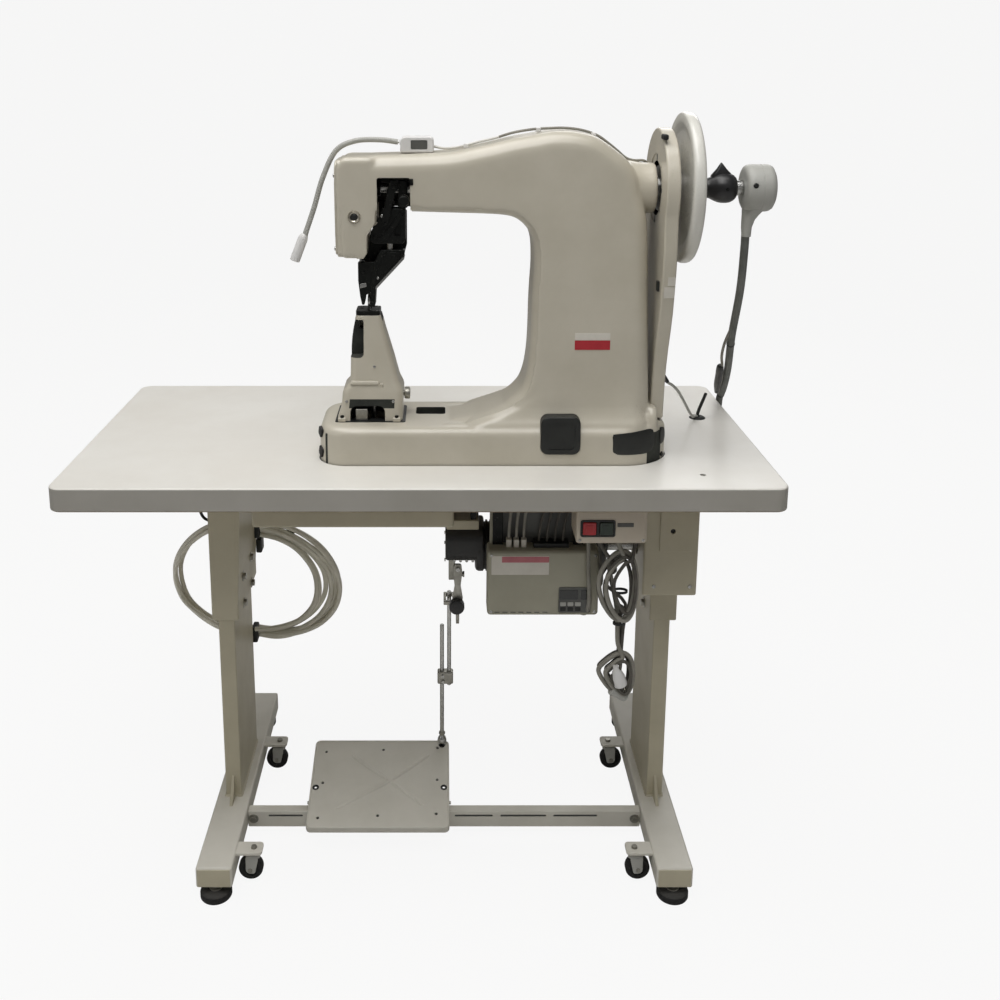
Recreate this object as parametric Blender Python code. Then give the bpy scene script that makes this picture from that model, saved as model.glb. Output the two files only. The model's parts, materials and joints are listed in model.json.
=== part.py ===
"""Post-bed leather sewing machine on its industrial table and stand.

World frame: +X to the operator's right, +Y away from the operator (rear), +Z up,
floor at z = 0.  All sizes are millimetres measured from the middle of the stand;
the empty "sewing_machine" moves everything so that the origin is the bottom
centre of the whole object.
"""
import math

import bmesh
import bpy
from mathutils import Matrix, Vector

for ob in list(bpy.data.objects):
    bpy.data.objects.remove(ob, do_unlink=True)

# ---------------------------------------------------------------- dimensions
MM = 0.001
GAP = 0.3                               # clearance under the table
TABLE_X0, TABLE_X1 = -638.0, 562.0
TABLE_HALF_Y = 300.0
TABLE_Z0, TABLE_Z1 = 739.0, 780.0
UNDER_TABLE = TABLE_Z0 - GAP            # top of the parts hung below the table
OVERALL_X1 = 585.1                      # right extreme; the table is the left one
LEFT_LEG_X, RIGHT_LEG_X = -402.0, 410.0
FOOT_Z0, FOOT_Z1 = 26.0, 66.0
HEAD_Y = -105.0                         # middle plane of the machine head
SHAFT_Z = 1243.0                        # main shaft height
LOW_SHAFT_Z = 785.0
BASE_Z0, BASE_Z1 = 758.3, 845.0         # base casting
NEEDLE_X = -137.5
PLATE_Z = 1035.0                        # top of the needle plate
HOOK_X = -119.0
ROLL_X = -124.5                         # plane of feed wheel and roller foot
ROLLER_Z, FEED_Z = 1050.0, 1021.2       # their axes
PRESSER_X, PRESSER_Y = -88.0, -128.0
BELT_X = 371.0                          # middle plane of the drive belt
TIMING_X = 250.0                        # middle plane of the timing belt
MOTOR_Y, MOTOR_Z, MOTOR_R = -95.0, 592.0, 46.0
PEDAL_TILT = math.radians(14.9)
PEDAL_Y, PEDAL_Z = -105.0, 69.0         # pedal pivot
LEVER_X, LEVER_Y, LEVER_Z = 29.0, -95.0, 535.0  # treadle lever pivot
ROD_Y, ROD_Z = 17.8, 116.0              # lower ball joint of the pitman rod
EYE_Z = 430.0                           # slotted eye at the end of the lever
PEG_X, PEG_Y = 494.0, 75.0              # head rest peg

ROOT = bpy.data.objects.new("sewing_machine", None)
bpy.context.scene.collection.objects.link(ROOT)
ROOT.location = (-(TABLE_X0 + OVERALL_X1) / 2 * MM, 0, 0)

# ----------------------------------------------------------------- materials


def material(name, colour, roughness, metallic=0.0):
    mat = bpy.data.materials.new(name)
    mat.use_nodes = True
    inputs = mat.node_tree.nodes["Principled BSDF"].inputs
    inputs["Base Color"].default_value = (*colour, 1)
    inputs["Roughness"].default_value = roughness
    inputs["Metallic"].default_value = metallic
    mat.diffuse_color = (*colour, 1)
    return mat


CAST = material("cast_paint", colour=(0.46, 0.43, 0.36), roughness=0.35)
STAND = material("stand_paint", colour=(0.42, 0.40, 0.33), roughness=0.45)
TABLE = material("table_laminate", colour=(0.66, 0.64, 0.60), roughness=0.4)
WHITE = material("white_paint", colour=(0.72, 0.70, 0.66), roughness=0.3)
STEEL = material("bright_steel", colour=(0.62, 0.62, 0.60), roughness=0.25, metallic=1)
DARK = material("black_oxide", colour=(0.03, 0.03, 0.03), roughness=0.4, metallic=0.6)
BLACK = material("black_plastic", colour=(0.02, 0.02, 0.02), roughness=0.5)
RUBBER = material("black_rubber", colour=(0.02, 0.02, 0.02), roughness=0.8)
GREY = material("grey_plastic", colour=(0.45, 0.45, 0.42), roughness=0.5)
CABLE = material("grey_cable", colour=(0.5, 0.49, 0.45), roughness=0.6)
RED = material("red_plastic", colour=(0.55, 0.04, 0.05), roughness=0.4)

# ------------------------------------------------------------------ outlines


def arc(centre, radius, start, end, steps):
    """Points on a circle between two angles in degrees, both ends included."""
    angles = [math.radians(start + (end - start) * k / steps) for k in range(steps + 1)]
    return [(centre[0] + radius * math.cos(angle), centre[1] + radius * math.sin(angle))
            for angle in angles]


def rounded_rect(x0, x1, y0, y1, radius, steps=3):
    corners = ((x1 - radius, y1 - radius), (x0 + radius, y1 - radius),
               (x0 + radius, y0 + radius), (x1 - radius, y0 + radius))
    return [point for i, corner in enumerate(corners)
            for point in arc(corner, radius, 90 * i, 90 * i + 90, steps)]


def curve_through(points, steps):
    """Catmull-Rom points through the control points."""
    points = [Vector(point) for point in points]
    last = len(points) - 1
    out = []
    for i in range(last):
        before, start = points[max(i - 1, 0)], points[i]
        end, after = points[i + 1], points[min(i + 2, last)]
        for k in range(steps):
            t = k / steps
            out.append(0.5 * ((2 * start) + (end - before) * t
                              + (2 * before - 5 * start + 4 * end - after) * t * t
                              + (3 * start - before - 3 * end + after) * t ** 3))
    out.append(points[-1])
    return out


def winding(x, y, z, radius_x, radius_z, pitch, per_turn, steps, shrink=0.0, sway=0.0):
    """Coil about a Y axis from its top; each turn shrinks by a share, sway skews it in z."""
    out = []
    for k in range(steps + 1):
        turns = k / per_turn
        angle = math.pi / 2 + 2 * math.pi * turns
        scale = 1 - shrink * turns
        out.append((x + radius_x * scale * math.cos(angle), y + pitch * turns,
                    z + radius_z * scale * math.sin(angle) + sway * math.sin(2 * angle)))
    return out


# -------------------------------------------------------------------- solids


def metres(x, y, z):
    return Vector((x * MM, y * MM, z * MM))


def place(axis, along, first, second):
    """Point from its position along the axis and, in x, y, z order, the two across it."""
    return metres(*{"x": (along, first, second), "y": (first, along, second),
                    "z": (first, second, along)}[axis])


def to_object(bm):
    bmesh.ops.recalc_face_normals(bm, faces=bm.faces)
    mesh = bpy.data.meshes.new("solid")
    bm.to_mesh(mesh)
    bm.free()
    ob = bpy.data.objects.new("solid", mesh)
    bpy.context.scene.collection.objects.link(ob)
    return ob


def box(x0, x1, y0, y1, z0, z1):
    bm = bmesh.new()
    verts = [bm.verts.new(metres(x, y, z)) for x in (x0, x1) for y in (y0, y1) for z in (z0, z1)]
    for face in ((0, 1, 3, 2), (4, 6, 7, 5), (0, 4, 5, 1),
                 (2, 3, 7, 6), (0, 2, 6, 4), (1, 5, 7, 3)):
        bm.faces.new([verts[i] for i in face])
    return to_object(bm)


def head_box(x0, x1, half_y, z0, z1):
    """Box centred on the middle plane of the head."""
    return box(x0, x1, HEAD_Y - half_y, HEAD_Y + half_y, z0, z1)


def prism(outline, axis, start, end):
    """Outline of the two cross coordinates, extruded along the axis."""
    bm = bmesh.new()
    low = [bm.verts.new(place(axis, start, *point)) for point in outline]
    high = [bm.verts.new(place(axis, end, *point)) for point in outline]
    count = len(outline)
    bm.faces.new(low)
    bm.faces.new(high[::-1])
    for i in range(count):
        j = (i + 1) % count
        bm.faces.new([low[i], high[i], high[j], low[j]])
    return to_object(bm)


def lathe(profile, axis, first, second, segments=20, ring=False):
    """Profile of (radius, position) turned about the axis; a ring closes on itself."""
    bm = bmesh.new()
    rows = []
    for radius, along in profile:
        if radius < 1e-6:
            points = [(first, second)]
        else:
            points = arc((first, second), radius, 0, 360, segments)[:-1]
        rows.append([bm.verts.new(place(axis, along, *point)) for point in points])
    pairs = list(zip(rows, rows[1:]))
    if ring:
        pairs.append((rows[-1], rows[0]))
    for row, after in pairs:
        for k in range(segments):
            j = (k + 1) % segments
            if len(row) == 1 and len(after) > 1:
                bm.faces.new([row[0], after[k], after[j]])
            elif len(after) == 1 and len(row) > 1:
                bm.faces.new([row[k], row[j], after[0]])
            elif len(row) > 1:
                bm.faces.new([row[k], row[j], after[j], after[k]])
    return to_object(bm)


def rod(axis, start, end, first, second, radius, segments=16):
    return lathe([(0, start), (radius, start), (radius, end), (0, end)],
                 axis, first, second, segments)


def loft(sections):
    """Closed skin through loops of equal length."""
    bm = bmesh.new()
    rows = [[bm.verts.new(metres(*point)) for point in section] for section in sections]
    bm.faces.new(rows[0])
    bm.faces.new(rows[-1][::-1])
    count = len(rows[0])
    for row, after in zip(rows, rows[1:]):
        for k in range(count):
            j = (k + 1) % count
            bm.faces.new([row[k], row[j], after[j], after[k]])
    return to_object(bm)


def tube(points, radius, sides):
    """Round bar along the points, with a frame carried along without twist."""
    points = [Vector(point) for point in points]
    radii = radius if isinstance(radius, list) else [radius] * len(points)
    sections = []
    normal = None
    for i, point in enumerate(points):
        ahead = points[min(i + 1, len(points) - 1)]
        tangent = (ahead - points[max(i - 1, 0)]).normalized()
        if normal is None:
            normal = tangent.orthogonal().normalized()
        normal = (normal - tangent * normal.dot(tangent)).normalized()
        across = tangent.cross(normal)
        angles = [2 * math.pi * k / sides for k in range(sides)]
        sections.append([point + radii[i] * (math.cos(angle) * normal + math.sin(angle) * across)
                         for angle in angles])
    return loft(sections)


def apply_mods(ob):
    graph = bpy.context.evaluated_depsgraph_get()
    mesh = bpy.data.meshes.new_from_object(ob.evaluated_get(graph))
    ob.modifiers.clear()
    ob.data = mesh
    return ob


def combine(ob, tools, operation):
    for tool in tools:
        mod = ob.modifiers.new(operation.lower(), "BOOLEAN")
        mod.operation = operation
        mod.object = tool
        mod.solver = "EXACT"
    apply_mods(ob)
    for tool in tools:
        bpy.data.objects.remove(tool, do_unlink=True)
    return ob


def cut(ob, *tools):
    return combine(ob, tools, "DIFFERENCE")


def join(ob, *tools):
    return combine(ob, tools, "UNION")


def soften(ob, width, segments=1, angle=40):
    """Bevels the edges sharper than the angle in degrees."""
    mod = ob.modifiers.new("bevel", "BEVEL")
    mod.width = width * MM
    mod.segments = segments
    mod.limit_method = "ANGLE"
    mod.angle_limit = math.radians(angle)
    mod.use_clamp_overlap = True
    return apply_mods(ob)


def part(name, ob, mat, origin):
    """Names the solid, moves its origin to a joint axis or a datum, and parents it."""
    origin = metres(*origin)
    ob.data.transform(Matrix.Translation(-origin))
    ob.location = origin
    ob.parent = ROOT
    ob.name = name
    ob.data.name = name
    ob.data.materials.clear()
    ob.data.materials.append(mat)
    ob.data.shade_smooth()
    ob.data.set_sharp_from_angle(angle=math.radians(35))


# ================================================================= stand
PAD_Y = {"front": -264, "rear": 266}
CASTER_Y = {"front": -222, "rear": 105}
CASTER_OFFSET = 62                      # caster stem, inward from the leg
AXLE_TRAIL, AXLE_Z = 6, 25


def build_foot(side, leg_x, inward):
    """Floor beam with the inner telescopic column and two caster plates."""
    foot = soften(box(leg_x - 32, leg_x + 32, -280, 285, FOOT_Z0, FOOT_Z1), 3)
    plate_x0, plate_x1 = sorted((leg_x + inward * 30, leg_x + inward * 78))
    plates = [box(plate_x0, plate_x1, y - 16, y + 16, 58, 63) for y in CASTER_Y.values()]
    join(foot, box(leg_x - 15, leg_x + 15, -80, 102, 60, 640), *plates)
    bores = [rod("z", 20, 61.5, leg_x, y, 7.5, 12) for y in PAD_Y.values()]
    bores += [rod("z", 50, 70, leg_x + inward * CASTER_OFFSET, y, 5.6, 12)
              for y in CASTER_Y.values()]
    cut(foot, *bores)
    cut(foot, box(leg_x - 12.5, leg_x + 12.5, -77.5, 99.5, 70, 660),
        box(leg_x - 29, leg_x + 29, -245, 245, 20, 62.5))
    part(f"{side}_foot", foot, STAND, (leg_x, 0, FOOT_Z0))


def build_column(side, leg_x, flange_x0, flange_y0):
    """Outer column with its table flange."""
    column = soften(box(leg_x - 25, leg_x + 25, -88, 112, 420, 736), 2.5)
    join(column, box(flange_x0, leg_x + 38, flange_y0, 235, 733, UNDER_TABLE))
    cut(column, box(leg_x - 15.5, leg_x + 15.5, -80.5, 102.5, 400, 728))
    part(f"{side}_column", column, STAND, (leg_x, 12, 420))


def build_pad(name, x, y):
    profile = [(0, 0), (26, 0), (28, 3), (28, 12), (22, 16), (6.5, 16.5), (6.5, 50), (0, 50)]
    part(name, lathe(profile, "z", x, y, 16), RUBBER, (x, y, 0))


def build_caster(name, x, y, inward):
    """Drawn rolling fore and aft, then swivelled so that it trails towards the beam."""
    axle_y = y + AXLE_TRAIL
    fork = box(x - 12, x + 12, y - 12, y + 14, 49, 54)
    join(fork, box(x - 12, x - 10, y - 8, y + 14, 18, 50),
         box(x + 10, x + 12, y - 8, y + 14, 18, 50),
         rod("z", 52, 67, x, y, 5, 12), rod("x", x - 11, x + 11, axle_y, AXLE_Z, 3, 10))
    wheel = lathe([(3.4, x - 8), (20, x - 8), (22, x - 6), (22, x + 6), (20, x + 8), (3.4, x + 8)],
                  "x", axle_y, AXLE_Z, 16, ring=True)
    stem = metres(x, y, 0)
    turn = Matrix.Rotation(math.radians(90 * inward), 4, "Z")
    swivel = Matrix.Translation(stem) @ turn @ Matrix.Translation(-stem)
    fork.data.transform(swivel)
    wheel.data.transform(swivel)
    part(f"{name}_fork", fork, GREY, (x, y, 54))
    part(f"{name}_wheel", wheel, RUBBER, (x - inward * AXLE_TRAIL, y, AXLE_Z))


# side, leg centre, inward direction, left and front edges of the table flange
for side, leg_x, inward, flange_x0, flange_y0 in (
        ("left", LEFT_LEG_X, 1, LEFT_LEG_X - 38, -235),
        ("right", RIGHT_LEG_X, -1, RIGHT_LEG_X - 25, -88)):
    build_foot(side, leg_x, inward)
    build_column(side, leg_x, flange_x0, flange_y0)
    for end, y in PAD_Y.items():
        build_pad(f"{side}_{end}_levelling_pad", leg_x, y)
    for end, y in CASTER_Y.items():
        build_caster(f"{side}_{end}_caster", leg_x + inward * CASTER_OFFSET, y, inward)

# cross brace: channel open to the rear, three slots in front, two pedal lugs with pins
BRACE_X0, BRACE_X1 = LEFT_LEG_X + 32.3, RIGHT_LEG_X - 32.3
brace = box(BRACE_X0, BRACE_X1, -115, -96, 24, 58)
cut(brace, box(BRACE_X0 + 3, BRACE_X1 - 3, -112.5, -90, 26.5, 55.5))
cut(brace, *[box(x0, x1, -120, -105, 44, 49) for x0, x1 in ((-331, -265), (236, 331), (110, 226))])
join(brace, *[box(x0, x0 + 4, PEDAL_Y - 4.5, PEDAL_Y + 4.5, 50, 72) for x0 in (-249, 5)],
     *[rod("x", x0, x0 + 10, PEDAL_Y, PEDAL_Z, 3, 12) for x0 in (-257, 7)])
part("cross_brace", brace, STAND, (0, PEDAL_Y, 24))

# ================================================================= treadle
TREAD_Z = 76.7                          # tread datum above the pivot


def pedal_block(x0, x1, along0, along1, up0, up1):
    """Tilted block: along runs up the tread to the rear, up is square to it."""
    cos, sin = math.cos(PEDAL_TILT), math.sin(PEDAL_TILT)
    corners = ((along0, up0), (along1, up0), (along1, up1), (along0, up1))
    return prism([(PEDAL_Y + along * cos - up * sin, TREAD_Z + along * sin + up * cos)
                  for along, up in corners], "x", x0, x1)


pedal = soften(pedal_block(-254, 14, -65, 138, -12.2, 2), 2)
cut(pedal, pedal_block(-251, 11, -62, 135, -20, -2))
cut(pedal, rod("x", -260, 20, PEDAL_Y, PEDAL_Z, 3.6, 12))
part("pedal", pedal, STAND, (-120, PEDAL_Y, PEDAL_Z))

# pitman rod: lower rod with its ball end, and upper rod offset on a clamp block
lower_rod = lathe([(0, ROD_Z), (7, 117), (9, 122), (7, 130), (4, 133), (4, 375), (0, 375)],
                  "z", 0, ROD_Y, 14)
part("pitman_rod_lower", lower_rod, STEEL, (0, ROD_Y, ROD_Z))
upper_rod = soften(box(-9, 22, ROD_Y - 9, ROD_Y + 9, 250, 276), 2)
join(upper_rod, rod("z", 245, 446, 14, ROD_Y, 4, 14))
cut(upper_rod, rod("z", 240, 290, 0, ROD_Y, 4.5, 14))
part("pitman_rod_upper", upper_rod, STEEL, (0, ROD_Y, 250))

# treadle lever: bent arm from the pivot boss to the slotted eye
lever_outline = arc((LEVER_Y, LEVER_Z), 11, 30, 240, 7) + [
    (LEVER_Y + 4, EYE_Z + 14), (LEVER_Y + 14, EYE_Z - 2), (ROD_Y - 17, EYE_Z - 5),
    (ROD_Y - 17, EYE_Z + 5), (LEVER_Y + 24, EYE_Z + 10), (LEVER_Y + 18, EYE_Z + 20)]
lever = prism(lever_outline, "x", LEVER_X - 3, LEVER_X + 3)
join(lever, box(3, 31.5, ROD_Y - 21, ROD_Y + 21, EYE_Z - 4, EYE_Z + 4))
cut(lever, box(8, 20, ROD_Y - 17.5, ROD_Y + 17.5, EYE_Z - 8, EYE_Z + 8),
    rod("x", 20, 40, LEVER_Y, LEVER_Z, 4.5, 12))
part("treadle_lever", lever, STEEL, (LEVER_X, LEVER_Y, LEVER_Z))

# ================================================================= table
BASE_HALF_Y, BASE_CORNER = 87.0, 48.0
BASE_X0, BASE_X1 = -211.0, 389.0
BASE_END_X = 306.0                      # centre of the round right end


def base_outline(grow=0.0):
    """Plan of the base casting: rounded left corners, round right end trimmed flat."""
    half = BASE_HALF_Y + grow
    corner_x = BASE_X0 - grow + BASE_CORNER
    corner_y = half - BASE_CORNER
    front_left = arc((corner_x, HEAD_Y - corner_y), BASE_CORNER, 180, 270, 5)
    right = [(min(x, BASE_X1 + grow), y) for x, y in arc((BASE_END_X, HEAD_Y), half, -90, 90, 10)]
    rear_left = arc((corner_x, HEAD_Y + corner_y), BASE_CORNER, 90, 180, 5)
    return front_left + right + rear_left


# table top: recess and opening for the base, belt slot, peg hole
table = prism(rounded_rect(TABLE_X0, TABLE_X1, -TABLE_HALF_Y, TABLE_HALF_Y, 22, 4),
              "z", TABLE_Z0, TABLE_Z1)
soften(table, 3, angle=60)
cut(table, prism(base_outline(2.5), "z", 758, 800), prism(base_outline(-13), "z", 730, 765),
    box(364, 378.5, -140, -62, 730, 765), rod("z", 730, 790, PEG_X, PEG_Y, 11))
part("table_top", table, TABLE, (0, 0, TABLE_Z0))

PAN_X0, PAN_X1, PAN_Y0, PAN_Y1, PAN_Z0 = -325, 20, -205, -8, 672
PAN_WALL = 4
pan = soften(box(PAN_X0, PAN_X1, PAN_Y0, PAN_Y1, PAN_Z0, UNDER_TABLE), 3)
cut(pan, box(PAN_X0 + PAN_WALL, PAN_X1 - PAN_WALL, PAN_Y0 + PAN_WALL, PAN_Y1 - PAN_WALL,
             PAN_Z0 + PAN_WALL, 745))
part("drip_pan", pan, STAND, (-150, HEAD_Y, PAN_Z0))

# head rest peg: flanged plug with a leaning bar
peg = lathe([(0, 770), (9.5, 770), (9.5, 780.4), (15, 780.4), (15, 784), (6, 785), (5, 790),
             (0, 790)], "z", PEG_X, PEG_Y, 16)
join(peg, tube([(PEG_X, PEG_Y, 784), (497, 75.5, 796), (509, 77, 829)], 3.2, 12))
part("head_rest_peg", peg, BLACK, (PEG_X, PEG_Y, TABLE_Z1))

# switch box with two square buttons
BUTTON_Z, BUTTON_HALF = 696, 11
BUTTONS = (("off_button", 244, RED), ("on_button", 272, DARK))


def button_block(x, half, y0, y1):
    return box(x - half, x + half, y0, y1, BUTTON_Z - half, BUTTON_Z + half)


switch = soften(box(222, 340, -262, -192, 668, UNDER_TABLE), 4)
cut(switch, *[button_block(x, BUTTON_HALF + 0.5, -270, -254) for _, x, _ in BUTTONS])
part("switch_box", switch, WHITE, (281, -192, 700))
for name, x, mat in BUTTONS:
    button = soften(button_block(x, BUTTON_HALF, -265, -257.5), 1.5)
    part(name, button, mat, (x, -262, BUTTON_Z))

# ================================================================= drive
# motor with the lug and pin of the treadle lever
motor = lathe([(0, 6), (34, 6), (44, 12), (MOTOR_R, 20), (MOTOR_R, 284), (43, 292), (26, 296),
               (12, 299.6), (0, 299.6)], "x", MOTOR_Y, MOTOR_Z, 24)
join(motor, box(12, 24, LEVER_Y - 8, LEVER_Y + 8, LEVER_Z - 8, LEVER_Z + 22),
     rod("x", 20, 38, LEVER_Y, LEVER_Z, 4, 12))
part("motor", motor, BLACK, (150, MOTOR_Y, MOTOR_Z))

bracket = box(96, 268, -160, -30, 732, UNDER_TABLE)
join(bracket, *[box(x0, x0 + 6, -135, -55, 618, 734) for x0 in (110, 248)])
cut(bracket, rod("x", 90, 280, MOTOR_Y, MOTOR_Z, MOTOR_R + 0.4, 24))
part("motor_bracket", bracket, DARK, (182, MOTOR_Y, 738))

control = soften(box(79, 274, -188, -141.6, 500, 622), 5)
part("control_box", control, GREY, (176, -142, 560))

pulley = lathe([(0, 300.2), (9, 300.2), (9, 362), (27, 363.5), (19.5, BELT_X), (27, 378),
                (14, 378.5), (12, 380.5), (0, 380.5)], "x", MOTOR_Y, MOTOR_Z, 18)
part("motor_pulley", pulley, STEEL, (BELT_X, MOTOR_Y, MOTOR_Z))


def belt_loop(upper, upper_radius, lower, lower_radius, steps):
    """Outline of an open belt round two circles in the y-z plane."""
    rise_y, rise_z = upper[0] - lower[0], upper[1] - lower[1]
    lean = math.acos((upper_radius - lower_radius) / math.hypot(rise_y, rise_z))
    base = math.degrees(math.atan2(rise_z, rise_y))
    wrap = math.degrees(math.pi - lean)     # half the contact angle on the upper circle
    return (arc(upper, upper_radius, base - wrap, base + wrap, steps)
            + arc(lower, lower_radius, base + wrap, base + 360 - wrap, steps))


def belt(middle_x, width, upper, upper_radius, lower, lower_radius, thick, steps):
    x0, x1 = middle_x - width / 2, middle_x + width / 2
    outer = belt_loop(upper, upper_radius + thick, lower, lower_radius + thick, steps)
    inner = belt_loop(upper, upper_radius, lower, lower_radius, steps)
    return cut(prism(outer, "x", x0, x1), prism(inner, "x", x0 - 5, x1 + 5))


drive_belt = belt(BELT_X, 6, (HEAD_Y, SHAFT_Z), 34.5, (MOTOR_Y, MOTOR_Z), 24.5, thick=5.5, steps=12)
part("drive_belt", drive_belt, RUBBER, (BELT_X, HEAD_Y, SHAFT_Z))

# lower belt guard: narrow box round the belt, wider at its front right
low_guard = soften(box(354, 384, -166, -42, 527, UNDER_TABLE), 3)
join(low_guard, soften(box(366, 450, -166, -91, 527, UNDER_TABLE), 3))
cut(low_guard, box(357, 381.5, -163, -45, 530, 745), box(369, 447, -163, -94, 530, 745),
    rod("x", 350, 360, MOTOR_Y, MOTOR_Z, 16))
part("lower_belt_guard", low_guard, STAND, (400, -130, 527))

# ================================================================= head casting
# (x, z) outline of arm and column seen from the front
HEAD_OUTLINE = [
    (-169, 1131), (-126, 1131), (-123, 1171), (-107, 1196), (-103, 1209), (28, 1205),
    (100, 1202), (128, 1194), (145, 1178), (153, 1150), (154, 1110), (150, 1050),
    (148, 960), (143, 925), (133, 900), (117, 881), (92, 864), (62, 855), (20, 851.5),
    (-30, 850), (-30, 800), (359, 800), (359, 876), (356, 957), (351, 1064), (347, 1150),
    (345, 1198), (350, 1206), (358, 1207), (358, 1289), (345, 1291), (308, 1295),
    (289, 1306), (257, 1329), (204, 1340), (150, 1334), (117, 1328), (52, 1313),
    (0, 1303), (-60, 1301), (-150, 1299), (-170, 1292), (-176, 1280), (-176, 1215),
    (-171, 1203)]
PLUG_X0, PLUG_X1, PLUG_Z0, PLUG_Z1 = 167, 234, 800, 866     # plug in the front of the base

casting = soften(prism(HEAD_OUTLINE, "y", HEAD_Y - 62, HEAD_Y + 62), 22, 2, angle=80)
base = soften(prism(base_outline(), "z", BASE_Z0, BASE_Z1), 14, 2, angle=75)
# restores the square lower edge of the bevelled base
join(base, prism(base_outline(), "z", BASE_Z0, BASE_Z0 + 30))
join(casting, base)
# hollows of the arm and the column
cut(casting, head_box(-200, 346, 48, 1215, 1281), head_box(170, 342, 46, 740, 1250))
# hollow of the base, belt slot
cut(casting, prism(base_outline(-12), "z", 740, 833), box(364, 378.5, -138, -64, 740, 870))
# open left end of the arm, shaft bore in the right wall
cut(casting, head_box(-200, -131, 44, 1120, 1230), rod("x", 330, 370, HEAD_Y, SHAFT_Z, 8.6, 20))
# windows in the front and the underside of the arm
cut(casting, box(-107, -52, -190, -140, 1214, 1265), box(-109, -50, -152, -72, 1195, 1230))
# openings in the top of the base, port in its front
cut(casting, head_box(-160, -96, 30, 820, 860), box(-43, 3, -107, -60, 820, 880),
    box(PLUG_X0 - 0.5, PLUG_X1 + 0.5, -200, -170, PLUG_Z0 - 0.5, PLUG_Z1 + 0.5))
part("machine_casting", casting, CAST, (0, HEAD_Y, BASE_Z0))

# face cover: (offset from the middle plane, z), one half from the bottom up
FACE_HALF = [(50, 1136), (54, 1215), (54, 1280), (40, 1292)]
face_outline = ([(HEAD_Y + y, z) for y, z in FACE_HALF]
                + [(HEAD_Y - y, z) for y, z in reversed(FACE_HALF)])
face_outline = face_outline[-1:] + face_outline[:-1]    # starts at the front bottom corner
face = soften(prism(face_outline, "x", -182, -176.4), 2)
part("face_cover", face, CAST, (-179, HEAD_Y, 1215))

plug = prism(rounded_rect(PLUG_X0, PLUG_X1, PLUG_Z0, PLUG_Z1, 12), "y", -195, -172)
cut(plug, prism(rounded_rect(PLUG_X0 + 4, PLUG_X1 - 4, PLUG_Z0 + 4, PLUG_Z1 - 4, 9),
                "y", -190, -170))
part("front_port_plug", plug, BLACK, (200, -192, 833))

# ----------------------------------------------------------------- main shaft


def timing_pulley(shaft_radius):
    """Profile rows of a flanged timing pulley on a shaft."""
    return [(shaft_radius, 240), (24, 240.5), (24, 243), (21, 243.5), (21, 256.5),
            (24, 257), (24, 260), (shaft_radius, 260.5)]


def on_shaft(profile, segments, ring=False):
    """Part turned about the main shaft."""
    return lathe(profile, "x", HEAD_Y, SHAFT_Z, segments, ring)


shaft = on_shaft([(0, -127), (27, -127), (27, -113), (14, -112.5), (14, -104), (8, -103),
                  *timing_pulley(8), (8, 532), (0, 532)], 16)
part("main_shaft", shaft, STEEL, (0, HEAD_Y, SHAFT_Z))

# handwheel: belt groove on the left, rim on the right
handwheel = on_shaft([
    (8.5, 361.5), (19, 361.5), (19, 364), (38, 364.3), (30, BELT_X), (38, 378.5), (26, 379.5),
    (26, 400), (96, 404), (113, 399), (123, 399.5), (127, 405), (127, 413), (122, 419),
    (112, 419.5), (98, 412), (34, 412), (30, 419.5), (8.5, 419.5)], 28, ring=True)
part("handwheel", handwheel, WHITE, (410, HEAD_Y, SHAFT_Z))

coupling = on_shaft([(8.5, 420), (17, 420), (15, 432), (16, 448), (22, 460), (25.5, 472),
                     (25, 484), (19, 496), (8.5, 496)], 20, ring=True)
part("shaft_end_coupling", coupling, RUBBER, (458, HEAD_Y, SHAFT_Z))

synchronizer = on_shaft([(9, 508), (32, 508), (39, 512), (40, 518), (40, 549), (36, 556),
                         (20, 559), (0, 559), (0, 538), (9, 538)], 24, ring=True)
part("synchronizer", synchronizer, GREY, (538, HEAD_Y, SHAFT_Z))

# (x, y, z) from the synchronizer round the table edge to below the table
SYNC_CABLE = [
    (517, HEAD_Y, 1202.3), (518, -102, 1180), (521, -90, 1134), (526, -60, 1058),
    (532, 0, 962), (549, 90, 875), (567, 190, 806), (577, 236, 772), (576, 246, 730),
    (556, 226, 714), (516, 190, 710), (478, 150, 710)]
part("synchronizer_cable", tube(curve_through(SYNC_CABLE, 2), 7, 7), CABLE, (517, HEAD_Y, 1199))

# upper belt guard: (y, z) of the front wall downwards and the rear wall upwards
GUARD_FOOT_Z = 846
GUARD_FRONT = [(-202, 1180), (-197, 1110), (-184, 1040), (-160, 975), (-145, 920),
               (-138, GUARD_FOOT_Z)]
GUARD_REAR = [(-62, GUARD_FOOT_Z), (-56, 920), (-44, 1000), (-26, 1080), (-12, 1150)]


def guard_outline(inset):
    """Outline moved inwards; its foot moves down, so that the cut leaves it open."""
    outline = arc((HEAD_Y, SHAFT_Z), 101 - inset, -20, 200, 11)
    for wall, shift in ((GUARD_FRONT, inset), (GUARD_REAR, -inset)):
        outline += [(y + shift, z - 3 * inset if z == GUARD_FOOT_Z else z) for y, z in wall]
    return outline


guard = prism(guard_outline(0), "x", 360.5, 383.5)
cut(guard, prism(guard_outline(2.5), "x", 362.3, 381.5))
cut(guard, rod("x", 355, 363, HEAD_Y, SHAFT_Z, 22, 20), rod("x", 380, 390, HEAD_Y, SHAFT_Z, 42, 20))
part("upper_belt_guard", guard, CAST, (372, HEAD_Y, SHAFT_Z))

# ----------------------------------------------------------------- needle side
needle = lathe([(0, 1050), (0.9, 1056), (0.9, 1081), (5.5, 1082), (5.5, 1098), (4, 1099),
                (4, 1226), (5.6, 1227), (5.6, 1238), (4, 1239), (4, 1278), (0, 1278)],
               "z", NEEDLE_X, HEAD_Y, 12)
part("needle_bar", needle, STEEL, (NEEDLE_X, HEAD_Y, 1074))

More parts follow.
